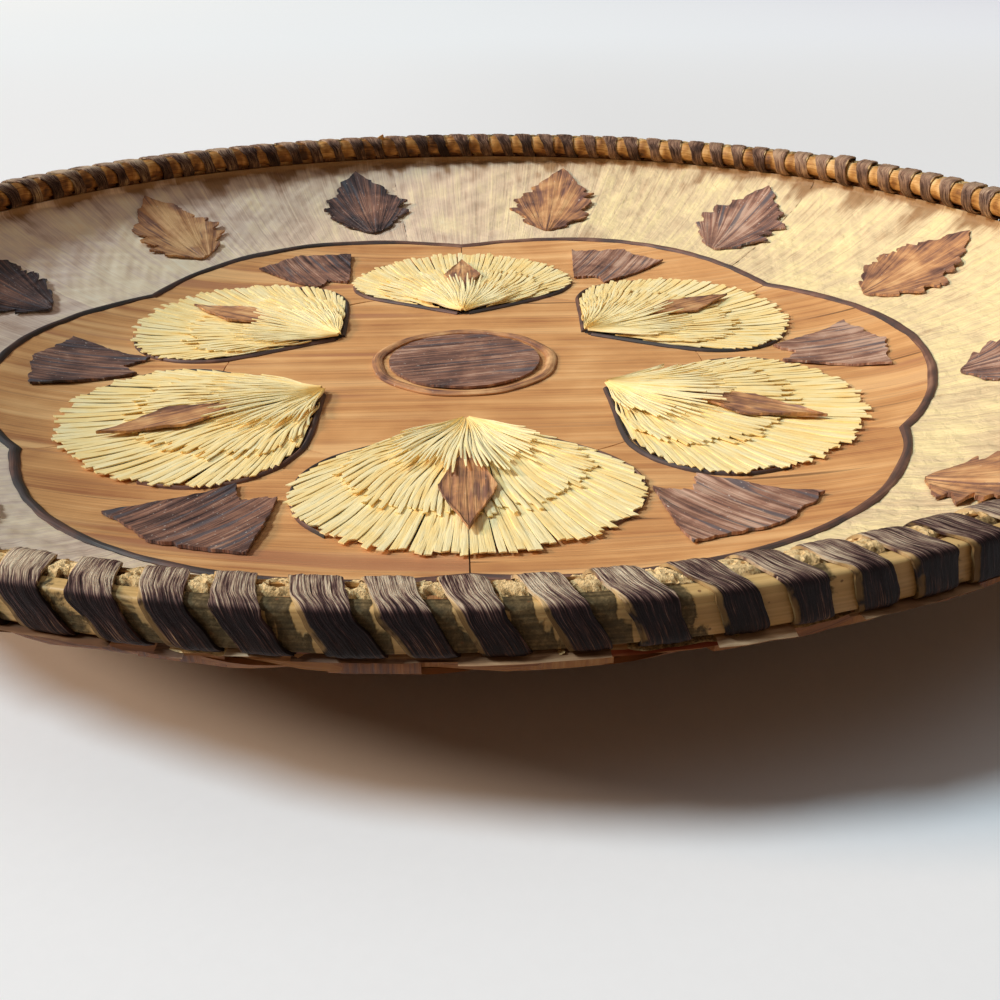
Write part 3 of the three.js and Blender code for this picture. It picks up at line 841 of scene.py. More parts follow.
# %% Hoops
hoop_steps = 1440
turn_count = 120
turn_step = 2 * math.pi / turn_count
first_slit = -math.pi / 2 + turn_step / 2
worn_edge = 0.0006
corner_steps, cane_steps = 3, 12
far_rise = 0.0004
top_wave, foot_wave = 0.00010, -0.00022
outer_wander = [(0.0001, 0.5, 11), (0.00018, 0.12, 12)]  # height, wave and seed
cane_bulge, cane_wander = 0.0006, 0.00015


def spin_section(name, section):
    """Draw a closed section as radius and height, and spin it round the upright axis."""
    edges = [(i, (i + 1) % len(section)) for i in range(len(section))]
    hoop = new_object(name, [(r, 0, z) for r, z in section], edges, [])
    select_only(hoop)
    bpy.ops.object.mode_set(mode="EDIT")
    bpy.ops.mesh.select_all(action="SELECT")
    bpy.ops.mesh.spin(steps=hoop_steps, angle=2 * math.pi, center=(0, 0, 0), axis=(0, 0, 1))
    bpy.ops.mesh.select_all(action="SELECT")
    bpy.ops.mesh.remove_doubles(threshold=1e-5)
    bpy.ops.mesh.normals_make_consistent(inside=False)
    bpy.ops.object.mode_set(mode="OBJECT")
    return hoop


def finish_hoop(hoop, move, tone, finish, node):
    """Wander the points, unroll the UV map round the rim, and put the hoop in the tray."""
    at = np.array([v.co for v in hoop.data.vertices])
    radius, angle, height = np.hypot(at[:, 0], at[:, 1]), np.arctan2(at[:, 1], at[:, 0]), at[:, 2]
    radius, height = move(radius, angle, height)
    at = round_tray(radius, angle, height)
    hoop.data.vertices.foreach_set("co", at.astype(np.float32).ravel())
    keep_tone(hoop, tone(angle, height))
    layer = hoop.data.uv_layers.new(name="UVMap")
    for face in hoop.data.polygons:
        angles = angle[list(face.vertices)]
        wrapped = np.where(angles < angles.max() - math.pi, angles + 2 * math.pi, angles)
        for corner, place in zip(face.loop_indices, wrapped):
            vertex = hoop.data.loops[corner].vertex_index
            layer.data[corner].uv = (place * rim_radius, height[vertex] + radius[vertex])
    return settle(hoop, finish, [node], 35)


def outer_section():
    """The section of the outer hoop, with its two outer corners worn round."""
    inside, outside = rim_radius - outer_thickness, rim_radius - worn_edge
    section = [(inside, hoop_bottom)]
    for height, start in ((hoop_bottom + worn_edge, -90), (rim_top - worn_edge, 0)):
        turns = np.radians(np.linspace(start, start + 90, corner_steps + 1))
        section += zip(outside + worn_edge * np.cos(turns), height + worn_edge * np.sin(turns))
    return section + [(inside, rim_top)]


def from_turn(angle, share):
    """0 at a share of each turn's advance, and 1 half a turn away."""
    return 0.5 - 0.5 * np.cos(turn_count * (angle - first_slit - share * turn_step))


def far_side(angle):
    return np.sin(np.maximum(angle, 0))


def outer_hoop():
    hoop = spin_section("pale_outer_hoop", outer_section())

    def move(radius, angle, height):
        upper = height > hoop_middle
        height = height + np.where(upper, top_wave, foot_wave) * rim_ripple(angle, 0.09, 13)
        height = height + far_rise * upper * from_turn(angle, 0.6) ** 3 * far_side(angle)
        return radius + ripples(np.cos(angle), np.sin(angle), *outer_wander), height

    def stain_and_shade(angle, height):
        """The lashing has stained the hoop beside each turn. A bar to its left and the top are clean."""
        down = rise(height, rim_top, hoop_bottom)
        beside = ((angle - first_slit) / turn_step - 0.90 - 0.26 * down) % 1.0 - 0.08
        side = np.cos(angle)
        ragged = ripple(angle * rim_radius, 0, 0.005, 15)
        top = np.clip(1.2 - down / 0.16 + 0.8 * ragged, 0, 1) * (side < 0.06)
        spread = 0.15 * (0.66 - np.clip(beside / 0.30, 0, 1.4))
        bar = 0.13 - 0.33 * rise(beside, 0.29, 0.34)
        spread = spread + rise(np.abs(side + 0.04), 0.22, 0.14) * (bar - spread)
        clean = 0.22 * rise(side, 0.10, 0.20) + 0.13 * rise(-side, 0.14, 0.30) + 0.13 * top
        return spread + 0.02 * np.sin(angle * 3 + 1) + 0.075 - clean

    return finish_hoop(hoop, move, stain_and_shade, pale_hoop, "outer_hoop")


def inner_hoop():
    turns = np.linspace(0, math.pi, cane_steps + 1)
    radii = inner_radius - inner_thickness * np.sin(turns)
    heights = hoop_middle + hoop_height / 2 * np.cos(turns)
    hoop = spin_section("orange_inner_hoop", list(zip(radii, heights)))

    def move(radius, angle, height):
        between = from_turn(angle, 0.3)
        bulge = (inner_radius - radius) / inner_thickness
        share = (height - hoop_bottom) / hoop_height
        height = height + far_rise * share * between ** 3 * far_side(angle)
        return radius - bulge * (cane_bulge * between + cane_wander * ripple(angle, 0, 0.2, 21)), height

    def stain_and_shade(angle, height):
        """Painted light and shade: darker beside each turn, where the lashing shades it, and down towards
        the lining, and paler on the lit right of the tray.
        """
        beside = 1 - from_turn(angle, 0.8)
        down = rise(height, rim_top, hoop_bottom)
        side = 0.11 + 0.09 * np.clip(np.cos(angle), -0.5, 1)
        return 0.14 * ripple(angle, 0, 0.15, 22) - 0.16 * beside ** 2 - 0.12 * down ** 2 + side

    return finish_hoop(hoop, move, stain_and_shade, orange_cane, "inner_hoop")


hoops = [outer_hoop(), inner_hoop()]
print("faces in the hoops:", faces_in(hoops))

# %% [markdown]
# Between the hoops the cut edge of the mat and lining shows from above. Leaf sheaths are full of air
# cells, so the cut is spongy. A ring of fine faces is pushed down near the middle of each cell of a
# pattern, and the same pattern darkens the pits with painted shade. At the front the layers swell over the
# inner hoop, except where a turn of the lashing presses them down, and a gap is left beside the outer
# hoop, darkened with painted shade like the deeper holes.

# %% Cut edge
edge_swell = 0.0026
edge_outer = mat_radius + play
edge_cell = 0.0009
edge_drop = 0.003
cell_depth, hole_depth, gap_depth = 0.00055, 0.0016, 0.0013
front_swell, far_swell, ragged_swell, inner_drop = 0.0006, 0.0004, 0.0002, 0.0013


def cut_edge_ring():
    def place(u, v, side):
        angle = u * 2 * math.pi
        near = np.clip(0.5 - 0.9 * np.sin(angle), 0, 1)
        inside = inner_radius + play - edge_swell * near
        radius = inside + (edge_outer - inside) * v
        x, y = radius * np.cos(angle), radius * np.sin(angle)
        spots = zip(x / edge_cell, y / edge_cell)
        cells = np.array([noise.voronoi(Vector((a, b, 0)))[0] for a, b in spots])
        cell = rise(cells[:, 1] - cells[:, 0], 0, 0.4) ** 2
        ragged = ripples(x, y, (1, 0.006, 31), (0.6, 0.0022, 32))
        hole = rise(ripple(x, y, 0.0048, 33), 0.30, 0.42)
        gap = rise(v, 0.80, 0.92) * (0.6 + 0.4 * ripple(x, y, 0.012, 34))
        beside = (angle - first_slit) / turn_step % 1.0 - 0.52
        pressed = np.exp(-(beside / 0.30) ** 4)
        swell = (front_swell * near + far_swell * np.clip(np.sin(angle), 0, 1)) * (1 - pressed)
        top = rim_top + play / 2 + swell + ragged_swell * ragged - inner_drop * (1 - v) ** 2.5
        top = top - cell_depth * cell - hole_depth * hole - gap_depth * gap
        # Painted shade darkens the pits, the holes and the gap beside the outer hoop. Away from the front
        # the ring is darker as well.
        tone = 0.12 + 0.06 * ragged - 0.22 * cell - 0.5 * hole - 0.35 * gap - 0.27 * (1 - near)
        height = np.where(side > 0.5, top, rim_top - edge_drop)
        return np.stack([x, y, height], axis=-1), (angle * rim_radius, radius), tone

    return build("cut_edge_ring", [part(2600, 18, place, ring=True)], cut_edge, merge=1e-6)


edge = cut_edge_ring()
print("faces in the cut edge:", faces_in([edge]))

# %% [markdown]
# The lashing goes round the hoops 120 times. One turn comes in through a slit under the hoops, climbs the
# inner hoop, crosses the top and slants down over the outer hoop to the next slit. Its route is drawn once
# in the rim's section and rounded.

# %% Lashing route
strip_thickness = 0.0006
lift = 0.00045  # middle of the strip above what it lies on
inner_bore = inner_radius - inner_thickness
slit_height = hoop_bottom - 0.0006
route_samples = 56
turn_route = [
    # radius, height and share of the turn's advance, from one slit to the next
    (rim_radius - 0.0008, slit_height + 0.0001, 0),
    (mat_radius, slit_height, 0.05),
    (inner_radius - 0.0012, slit_height - 0.2 * lift, 0.10),
    (inner_bore - 0.3 * lift, hoop_bottom + 0.0008, 0.16),
    (inner_bore - 1.2 * lift, hoop_middle - 0.0008, 0.22),
    (inner_bore - 0.9 * lift, hoop_middle + 0.0014, 0.29),
    (inner_bore + 0.0007, rim_top - 0.0003, 0.36),
    (inner_radius - 0.0006, rim_top + 0.7 * lift, 0.43),
    (mat_radius - 0.0003, rim_top + 0.8 * lift, 0.51),
    (rim_radius - 0.0009, rim_top + 0.6 * lift, 0.59),
    (rim_radius + 0.5 * lift, rim_top - 0.1 * lift, 0.64),
    (rim_radius + lift, rim_top - 0.0014, 0.70),
    (rim_radius + lift, hoop_middle, 0.81),
    (rim_radius + 0.8 * lift, hoop_bottom + 0.0008, 0.94),
    (rim_radius - 0.0008, slit_height + 0.0001, 1.0),
]
route = rounded(turn_route, route_samples)
route_radius, route_height, route_share = route.T
out_radius, out_height = -np.gradient(route_height), np.gradient(route_radius)
route_steps = np.linalg.norm(np.diff(route[:, :2], axis=0), axis=1)
route_length = np.concatenate([[0], np.cumsum(route_steps)])
print("one turn in mm:", round(route_length[-1] * 1000, 1))

# %% [markdown]
# The strip is a block laid along that route, crowned, with a comb of ridges along it for the fibres. Every
# turn has its own width, slant and slack, and twenty make one strand, as long as a strip of leaf sheath
# gives. Right of the middle the turns stand more upright on the face of the rim, and at one place a turn
# laps over the start of a new strip and stands up in a lump.

# %% Lashing turns
strand_count = 6
turns_per_strand = turn_count // strand_count
lump_angle, lump_spread, lump_height = math.radians(33.6), 0.035, 0.0011
over_inner = 0.40  # share of the route where the strip comes over the inner hoop
over_outer = 0.71  # share of the route where it goes down over the outer hoop
over_top = (over_inner + over_outer) / 2
fibre_relief = 0.00012
crown_height = 0.00018
fray = 0.00024


def lashing_turn(turn):
    """One turn of the strip, with its own width and slack."""
    rng = np.random.default_rng(900 + turn)
    width = strip_width * rng.uniform(0.86, 1.08)
    nudge = rng.uniform(-0.0004, 0.0004) / rim_radius
    slant = rng.uniform(0.88, 1.08)
    slack = rng.uniform(0, 0.00012)
    start = first_slit + turn * turn_step + nudge
    across_tray, ahead = math.cos(start), math.sin(start)
    far = rise(ahead, -0.4, 0.1)
    near_right = rise(across_tray, 0, 0.15) * (1 - far)
    # Painted light: turns on the near right are darker, and on the far side they are lighter, most on its
    # right, where the inner face is lit.
    tint = rng.uniform(-0.07, 0.07) - 0.06 * near_right
    tint += far * (0.01 + 0.20 * max(across_tray, 0) ** 1.5 + 0.06 * max(-across_tray, 0))
    # How much the top of a turn is lifted as a painted highlight: less on the far side, except towards its
    # left.
    top_highlight_amount = 0.20 - 0.10 * far * rise(across_tray, -0.5, 0)
    from_lump = math.remainder(start - lump_angle, 2 * math.pi) / lump_spread

    def place(u, v, side):
        at = u * (route_samples - 1)
        share = sample(at, route_share)
        share = share + 0.13 * near_right * np.interp(share, [0.40, 0.66, 0.94, 1.0], [0, 1, 0.3, 0])
        out_r, out_z = sample(at, out_radius), sample(at, out_height)
        across = v - 0.5
        drift = 0.00016 * np.sin(at * 0.17 + turn)
        fibres = 0.55 * comb(v * width + drift, 0.00036, 77 + turn)
        fibres = fibres + 0.45 * comb(v * width - drift, 0.00052, 178 + turn)
        free = np.sin(math.pi * u) ** 0.5
        off = (side - 0.5) * strip_thickness * 0.7 + side * fibre_relief * fibres
        off = off + crown_height * (1 - (2 * across) ** 4)
        off = (off + (slack + lump_height * math.exp(-from_lump ** 2)) * free) / np.hypot(out_r, out_z)
        ragged = fray * ripple(route_length[-1] * u, v * 0, 0.004, 300 + turn) * np.sign(across)
        drawn = 1 - 0.26 * rise(u, over_inner + 0.03, over_inner - 0.07)
        drawn = drawn + 0.05 * np.sin(at * 0.3 + 3 * turn)
        sideways = across * width * drawn + ragged * (np.abs(across) > 0.4)
        angle = start + share * turn_step * slant + sideways / rim_radius
        radius, height = sample(at, route_radius) + out_r * off, sample(at, route_height) + out_z * off
        hidden = rise(u, over_inner, over_inner - 0.06)
        on_top = np.clip(1.4 - np.abs(u - 0.55) / 0.13, 0, 1)
        margin = strip_margin * (2 * hidden + 0.95 * on_top)
        uv = (sample(at, route_length) + turn * 0.0371, v * strip_width + margin)
        # Painted highlight and shade: lighter over the top of the rim and darker down the outer face, where
        # low on the face it is lighter on the left of the tray and darker on its right, and a little darker
        # inside the hoops.
        top_highlight = top_highlight_amount * np.clip(1.2 - np.abs(u - over_top) / 0.15, 0, 1)
        outside = 0.27 * rise(u, over_outer - 0.01, over_outer + 0.02)
        outside = outside - (0.06 - 0.10 * across_tray) * rise(u, 0.8, 0.95)
        return round_tray(radius, angle, height), uv, tint + top_highlight - outside - 0.04 * hidden

    return part(route_samples - 1, 20, place)


def lashing_strand(strand):
    turns = [lashing_turn(strand * turns_per_strand + turn) for turn in range(turns_per_strand)]
    nodes = [f"rim_lashing_{strand + 1}"]
    return build(f"lashing_strand_{strand + 1}", turns, lashing_fibre, nodes, sharp=60)


strands = [lashing_strand(strand) for strand in range(strand_count)]
print("faces in a strand:", faces_in(strands[:1]))

# %% [markdown]
# The ground of the dish is tan bark, cut to six lobes. The cream sheets of the wall start where it ends,
# and a thin dark strip covers the joint. One function gives the lobed edge to all three.

# %% Lobed edge
front = -math.pi / 2
petal_count = 6
petal_step = 2 * math.pi / petal_count
ground_radius = wall_end * 0.7
lobe_rise = 0.009
half_seam = 0.00015
outline_width = 0.0022


def lobed_edge(angle):
    return ground_radius + lobe_rise * np.abs(np.sin((angle - front) * petal_count / 2))


print("ground radius in mm:", round(ground_radius * 1000, 1))

# %% [markdown]
# Each wall sheet is two blades of cream leaf, side by side, with the grain running up the wall. The edge of
# one blade lies over the next, and the leaf has dried in small lumps where the glue held it. Near the rim
# it is stained brown and darkened with painted shade, and the sheets on the left and right of the tray are
# a little lighter, as painted light.

# %% Wall sheets
blades_per_sheet = 2
blade_step = petal_step / blades_per_sheet
blade_overlap = 0.006
wall_top_run = upright_run + 0.0011
lap_thickness = 0.0003
crinkle_radius = 0.15  # turns an angle into a length for the lumps and the grain
large_lumps, small_lumps, wall_fibres = 0.00036, 0.00030, 0.00009


def wall_blade(sheet, blade):
    rng = np.random.default_rng(1200 + 10 * sheet + blade)
    start = front + petal_step / 6 + sheet * petal_step + blade * blade_step
    # Painted light: sheets towards the left and right of the tray are a little lighter.
    tint = rng.uniform(-0.04, 0.05) + 0.06 * abs(math.cos(start + blade_step / 2))
    lean = rng.uniform(-0.05, 0.05)

    def place(u, v, side):
        angle = start + v * (blade_step + 2 * blade_overlap) - blade_overlap
        low = run_at(lobed_edge(angle) + half_seam, lining_depth)
        run = low + u * (wall_top_run - low)
        arc = angle * crinkle_radius
        lumps = ripples(arc, run, (large_lumps, 0.012, 1300 + sheet), (small_lumps, 0.005, 1310 + sheet))
        lumps = lumps + wall_fibres * comb(arc, 0.0011, 1320 + sheet) + play
        lap = rise(v, 0.04, 0) * (1 - 1.6 * side) - side * rise(v, 0.96, 0.98)
        depth = lining_depth + side * sheet_thickness + lap_thickness * lap
        depth = depth + lumps * np.sin(math.pi * np.clip(u, 0, 1)) ** 0.3
        around = angle * wall_end
        # Painted shade with staining: the leaf darkens towards the rim, more and further where the patches
        # run.
        rim_stain_and_shade = np.clip(0.45 + ripples(around, run, (1, 0.020, 1330), (0.4, 0.006, 1331)), 0, 1)
        shade = (0.24 + 0.20 * rim_stain_and_shade) * np.exp(-((1 - u) / (0.10 + 0.14 * rim_stain_and_shade ** 2)) ** 2)
        return dish(run, angle, depth), (run + sheet * 0.31, arc + lean * run + blade * 0.17), tint - shade

    return part(64, 72, place)


def wall_sheet(sheet):
    blades = [wall_blade(sheet, blade) for blade in range(blades_per_sheet)]
    return build(f"cream_sheet_{sheet + 1}", blades, cream_leaf, [f"wall_sheet_{sheet + 1}"])


wall = [wall_sheet(sheet) for sheet in range(petal_count)]
print("faces in a wall sheet:", faces_in(wall[:1]))

# %% [markdown]
# The ground is a round piece in the middle and six pieces round it. Bark is stiff, so its grain stays
# straight: each piece has its own direction, close to the long way of the picture.

# %% Ground
petal_margin = 0.008
petal_base = ground_radius * 0.36
petal_length = ground_radius - outline_width / 2 - petal_margin - petal_base
ground_disc_radius = petal_base + petal_length * 0.37
bark_relief, bark_pitch, bark_lumps = 0.0001, 0.0021, 0.00016


def bark_place(seed, angle_at, radius_at, tilt=0.0, tint=0.0, low=lining_depth,
               thickness=sheet_thickness, relief=bark_relief, pitch=bark_pitch, lumps=0.0):
    """A sheet of bark, whose angle and radius in the tray are functions of u and v."""
    def place(u, v, side):
        angle = angle_at(u, v)
        radius = radius_at(u, v, angle)
        x, y = radius * np.cos(angle), radius * np.sin(angle)
        along, across = turned(x, y, -tilt)
        bumps = relief * comb(across + 0.0006 * np.sin(along * 60), pitch, seed)
        bumps = bumps + lumps * ripple(x, y, 0.03, seed + 1) + play
        uv = (along + seed * 0.13, across + seed * 0.07)
        return on_dish(x, y, low + side * thickness + bumps), uv, tint
    return place


def disc_place(seed, edge_radius, **settings):
    """A round sheet: u runs round it and v outwards, and its middle closes in a point."""
    return bark_place(
        seed, lambda u, v: u * 2 * math.pi, lambda u, v, angle: edge_radius * v, **settings)


def bark_disc():
    disc = part(240, 50, disc_place(1400, ground_disc_radius - half_seam), ring=True)
    return build("bark_disc", [disc], tan_bark, ["ground_disc"], merge=1e-6)


def bark_sheet(sheet):
    rng = np.random.default_rng(1450 + sheet)
    start = front + sheet * petal_step
    gap = half_seam / ground_radius
    low = ground_disc_radius + half_seam
    place = bark_place(
        1460 + sheet, lambda u, v: start + gap + v * (petal_step - 2 * gap),
        lambda u, v, angle: low + u * (lobed_edge(angle) - half_seam - low),
        rng.uniform(-0.10, 0.10), rng.uniform(-0.16, 0.16), lumps=bark_lumps)
    nodes = [f"ground_sheet_{sheet + 1}"]
    return build(f"bark_sheet_{sheet + 1}", [part(56, 110, place)], tan_bark, nodes)


ground = [bark_disc()] + [bark_sheet(sheet) for sheet in range(petal_count)]
print("faces in the ground:", faces_in(ground))

# %% [markdown]
# The outline strip hides the joint of ground and wall. It is a twisted ribbon of dark leaf, so it is
# crowned, and its width comes and goes.

# %% Outline strip
outline_edge, outline_crown = 0.00035, 0.0006
outline_sunk = 0.0003
outline_wander = 0.0003


def outline_strip():
    def place(u, v, side):
        angle = u * 2 * math.pi + front
        width = outline_width * (1 + 0.28 * rim_ripple(angle, 0.25, 1501))
        radius = lobed_edge(angle) + (v - 0.5) * width + outline_wander * rim_ripple(angle, 0.12, 1502)
        depth = piece_depth - outline_sunk + side * crowned(v, outline_edge, outline_crown)
        # Painted shade: the strip is darker on the left of the tray, where the wall is turned from the
        # light.
        left_shade = 0.20 * np.clip(-np.cos(angle) * 1.5, 0, 1)
        points = on_dish(radius * np.cos(angle), radius * np.sin(angle), depth)
        return points, (angle * ground_radius, v * width), 0.05 - left_shade

    ribbon = part(900, 6, place, ring=True)
    return build("outline_ribbon", [ribbon], outline_leaf, ["outline_strip"], merge=1e-6)


outline = outline_strip()
print("faces in the outline:", faces_in([outline]))

# %% [markdown]
# The pale fans are combed fringe: leaf slit into narrow blades and laid in three tiers, like shingles.
# The lowest tier is long and straight, the middle one is pleated in waves, and the top one is short and
# shaggy. A dark sheet under the blades stands in for the shade in the slits between them, so that they
# read as dark lines.

# %% Fringe blades
fan_half_angle = math.pi * 0.32
fan_spread = 0.985  # share of that angle which the blades fill
fringe_depth = piece_depth + 0.0003
blade_thickness, blade_fibres, blade_wave = 0.00026, 0.00007, 0.00012
backing_first, backing_share = 0.001, 0.92
side_strip_width = 0.0016
side_strip_edge, side_strip_crown = 0.0004, 0.0006
side_strip_steps = 60
side_strip_line = [  # reach as a share of a petal's length, heading as a share of the half angle
    (0.03, 1.01), (0.24, 1.01), (0.44, 1.01), (0.57, 0.985), (0.70, 0.90), (0.80, 0.78), (0.885, 0.62),
    (0.94, 0.46)]
tiers = [
    # share where the blades start and end, blades, depths of the ends, wave, tapered share, narrowing
    (0.50, 1.00, 74, (0.0001, 0.0004), 0.00000, 0.12, 0.12),
    (0.26, 0.74, 70, (0.0005, 0.0010), 0.00055, 0.12, 0.30),
    (0.02, 0.48, 54, (0.0010, 0.0021), 0.00030, 0.40, 0.70),
]
blade_step_up = 0.00012  # every second blade lies this much higher
tuft_lift = 0.0013  # the middle tufts of the top tier lie over the end of the dark piece


def fan_reach(across):
    """How far a fan reaches from its base point at a share across, from -1 to 1."""
    return petal_length * np.maximum(np.cos(across * math.pi / 2), 0.0) ** 0.2


def on_fan(index, along, sideways, depth):
    """A point of the dish above a place given from a fan's own base point and axis."""
    return on_dish(*turned(petal_base + along, sideways, front + index * petal_step), depth)


def fan_blade(rng, index, heading, pitch, first, last, levels, wave, taper, narrow):
    """One blade from the distance first to last. Its ends lie at the two levels, and it may wave."""
    tint = rng.uniform(-0.10, 0.10) + 0.16 + 0.12 * (narrow > 0.5)
    phase = rng.uniform(0, 0.5)
    lean = rng.normal(0, 0.003)
    width = pitch * rng.uniform(0.90, 0.99)
    ridge = rng.uniform(0.00005, 0.00014)
    cut = rng.uniform(-0.0009, 0.0009)

    def place(u, v, side):
        across = v - 0.5
        distance = first + u * (last - first + across * cut)
        half = width * np.maximum(distance, 0.004) * (1 - narrow * rise(u, 1 - taper, 1) ** 1.5)
        off = across * half + wave * np.sin(u * 2.2 * math.pi + phase)
        axis_x, axis_y = np.cos(heading + lean * u), np.sin(heading + lean * u)
        level = levels[0] + (levels[1] - levels[0]) * u ** 1.3
        roof = ridge * (1 - np.abs(2 * across))
        roof = roof + blade_fibres * comb(distance + index, 0.0021, int(9 + 900 * phase))
        depth = level + side * (blade_thickness + roof) + blade_wave * np.sin(u * 9 + phase * 9)
        uv = (distance + 0.37 * phase + heading, off + 0.05 * heading + index)
        points = on_fan(index, distance * axis_x - off * axis_y, distance * axis_y + off * axis_x, depth)
        # Painted shade: each blade is darker at its root, which lies under the tier above.
        return points, uv, tint - 0.26 * (1 - u) ** 3

    return part(9, 2, place)


def fan_fringe(index):
    rng = np.random.default_rng(1600 + index)
    blades = []
    for tier, (begin, end, count, levels, wave, taper, narrow) in enumerate(tiers):
        for blade in range(count):
            across = ((blade + 0.5) / count * 2 - 1) * fan_spread + rng.normal(0, 0.0015)
            reach = fan_reach(across)
            last = reach * (end + rng.uniform(-0.025, 0.015) * (1 + 1.2 * tier))
            depths = [fringe_depth + level + blade_step_up * (blade % 2) for level in levels]
            if tier == 2:
                depths[1] += tuft_lift * math.exp(-(across / 0.26) ** 4)
            blades.append(fan_blade(
                rng, index, across * fan_half_angle, 2 * fan_half_angle / count, reach * begin, last,
                depths, wave, taper, narrow))
    return build(f"fan_fringe_{index + 1}", blades, fringe_leaf, [f"petal_{index + 1}"], sharp=50)


def fan_shade_backing(index):
    """A dark sheet under the blades, standing in for the shade in the slits between them, and the two dark
    strips round its sides.
    """
    # Painted shade: this dark sheet shows through the slits between the blades.
    def sheet(u, v, side):
        across = v * 2 - 1
        heading = across * fan_half_angle
        distance = backing_first + u * (fan_reach(across * fan_spread) * backing_share - backing_first)
        points = on_fan(
            index, distance * np.cos(heading), distance * np.sin(heading), piece_depth + side * play)
        return points, (distance, heading * 0.03), -0.12

    def edge_strip(sign):
        reaches, shares = np.array(side_strip_line).T
        headings = sign * fan_half_angle * shares
        line = np.stack([np.cos(headings), np.sin(headings)], axis=-1) * petal_length * reaches[:, None]
        line = rounded(line, side_strip_steps + 1)
        way = np.gradient(line, axis=0)
        way = way / np.linalg.norm(way, axis=1)[:, None]

        def place(u, v, side):
            x, y, way_x, way_y = (sample(u * side_strip_steps, values) for values in (*line.T, *way.T))
            off = (v - 0.5) * side_strip_width * (1 - 0.85 * u ** 3) + 0.0003 * np.sin(u * 11 + index)
            depth = piece_depth - play + side * crowned(v, side_strip_edge, side_strip_crown)
            points = on_fan(index, x - off * way_y, y + off * way_x, depth)
            return points, (u * 0.06, off), 0.10 * sign - 0.05
        return part(side_strip_steps, 4, place)

    parts = [part(24, 48, sheet), edge_strip(-1), edge_strip(1)]
    return build(f"fan_shade_backing_{index + 1}", parts, outline_leaf)


fans = [fan_fringe(index) for index in range(petal_count)]
backings = [fan_shade_backing(index) for index in range(petal_count)]
print("faces in a fan and under it:", faces_in(fans[:1]), faces_in(backings[:1]))

# %% [markdown]
# On each fan lies a pointed piece of dark bark, and between the fans a wider one. Both are strongly ridged
# along their length, with grooves where the sheath's fibres have parted.

# %% Dark bark pieces
vein_width = 0.013
vein_depth = piece_depth + 0.0016 + 0.0003
vein_first = petal_base + petal_length * 0.30
vein_last = petal_base + petal_length * 0.86
dart_margin = 0.006
dart_last = ground_radius + lobe_rise - outline_width / 2 - dart_margin
dart_length = petal_length * 0.45
dart_notch = dart_length * 0.18
dart_inner_width, dart_outer_width = dart_length * 0.4, dart_length * 1.2
ridged_thickness = 0.0007
ridge_sizes = [(0.00018, 0.0008), (0.00014, 0.0019)]  # height and pitch
frayed_end, frayed_side = 0.0007, 0.0006
edge_curl = 0.0004


def ridged_piece(name, width_at, first, last, axis, depth, finish, nodes, seed, tint):
    """A piece of bark laid along an axis, width_at(u) wide, ridged along its length."""
    def place(u, v, side):
        rim = np.abs(2 * v - 1)
        along = first(rim) + u * (last(rim) - first(rim))
        along = along + frayed_end * comb(v * 0.03, 0.0011, seed + 2) * (2 * u - 1)
        ragged = frayed_side * comb(u * 0.03, 0.0012, seed + 3) * np.sin(math.pi * u)
        off = (v - 0.5) * (width_at(u) + ragged)
        curl = edge_curl * rise(rim, 0.85, 1) * (0.5 + 0.5 * np.sin(along * 300 + seed))
        level = depth + side * (ridged_thickness + combs(off, ridge_sizes, seed)) + curl + play / 2
        points = on_dish(*turned(along, off, axis), level)
        return points, (along + seed * 0.11, off + seed * 0.05), tint - 0.08 * rim ** 6

    return build(name, [part(40, 44, place)], finish, nodes, sharp=50)


def vein(index):
    return ridged_piece(
        f"fan_vein_{index + 1}", lambda u: vein_width * (1 - np.abs(2 * u - 1)) + 0.0002,
        lambda rim: vein_first, lambda rim: vein_last, front + index * petal_step, vein_depth, red_bark,
        [f"petal_vein_{index + 1}"], 1700 + 7 * index, 0.06)


def dart(index):
    axis = front + (index + 0.5) * petal_step
    # The last number is the tone, as painted light: darker on the left of the tray and lighter on the
    # right.
    return ridged_piece(
        f"bark_dart_{index + 1}", lambda u: dart_inner_width + (dart_outer_width - dart_inner_width) * u,
        lambda rim: dart_last - dart_length + dart_notch * (1 - rim),
        lambda rim: dart_last - dart_notch * rim, axis, piece_depth, dark_bark,
        [f"dart_{index + 1}"], 1800 + 7 * index, 0.06 + 0.12 * math.cos(axis))


veins = [vein(index) for index in range(petal_count)]
darts = [dart(index) for index in range(petal_count)]
print("vein and dart faces:", faces_in(veins[:1]), faces_in(darts[:1]))

# %% [markdown]
# The leaf motifs on the wall are cut from brown sheath, with teeth along their sides. Their fibres spread
# from the stalk, so the motif is a block whose u runs out from the stalk and whose v fans across it.

# %% Leaf motifs
motif_margin = 0.0025
motif_base = ground_radius + lobe_rise + outline_width / 2 + motif_margin
motif_length = wall_end - 0.0028 - motif_base
motif_width = motif_length * 0.97
motif_teeth = 6
motif_curl = 0.0008
motif_fraying = [(0.10, 0.034), (0.05, 0.014)]  # shares of the width and of the length
motif_ridges = [(0.00022, 0.0009), (0.00014, 0.0022)]  # height and pitch
fan_radius = 0.02  # turns the angle of the spread fibres into a length


def tooth_outline(share, seed):
    """Half the width of a motif at a share of its length, as a part of the greatest half width."""
    bell = np.sin(math.pi * np.clip(share, 0, 1) ** 0.8)
    saw = (share * motif_teeth + 0.3 * np.sin(share * 9 + seed)) % 1.0
    tooth = np.where(saw > 0.8, (1 - saw) / 0.2, saw / 0.8)
    return bell * (0.74 + 0.22 * tooth + combs(share, motif_fraying, seed))


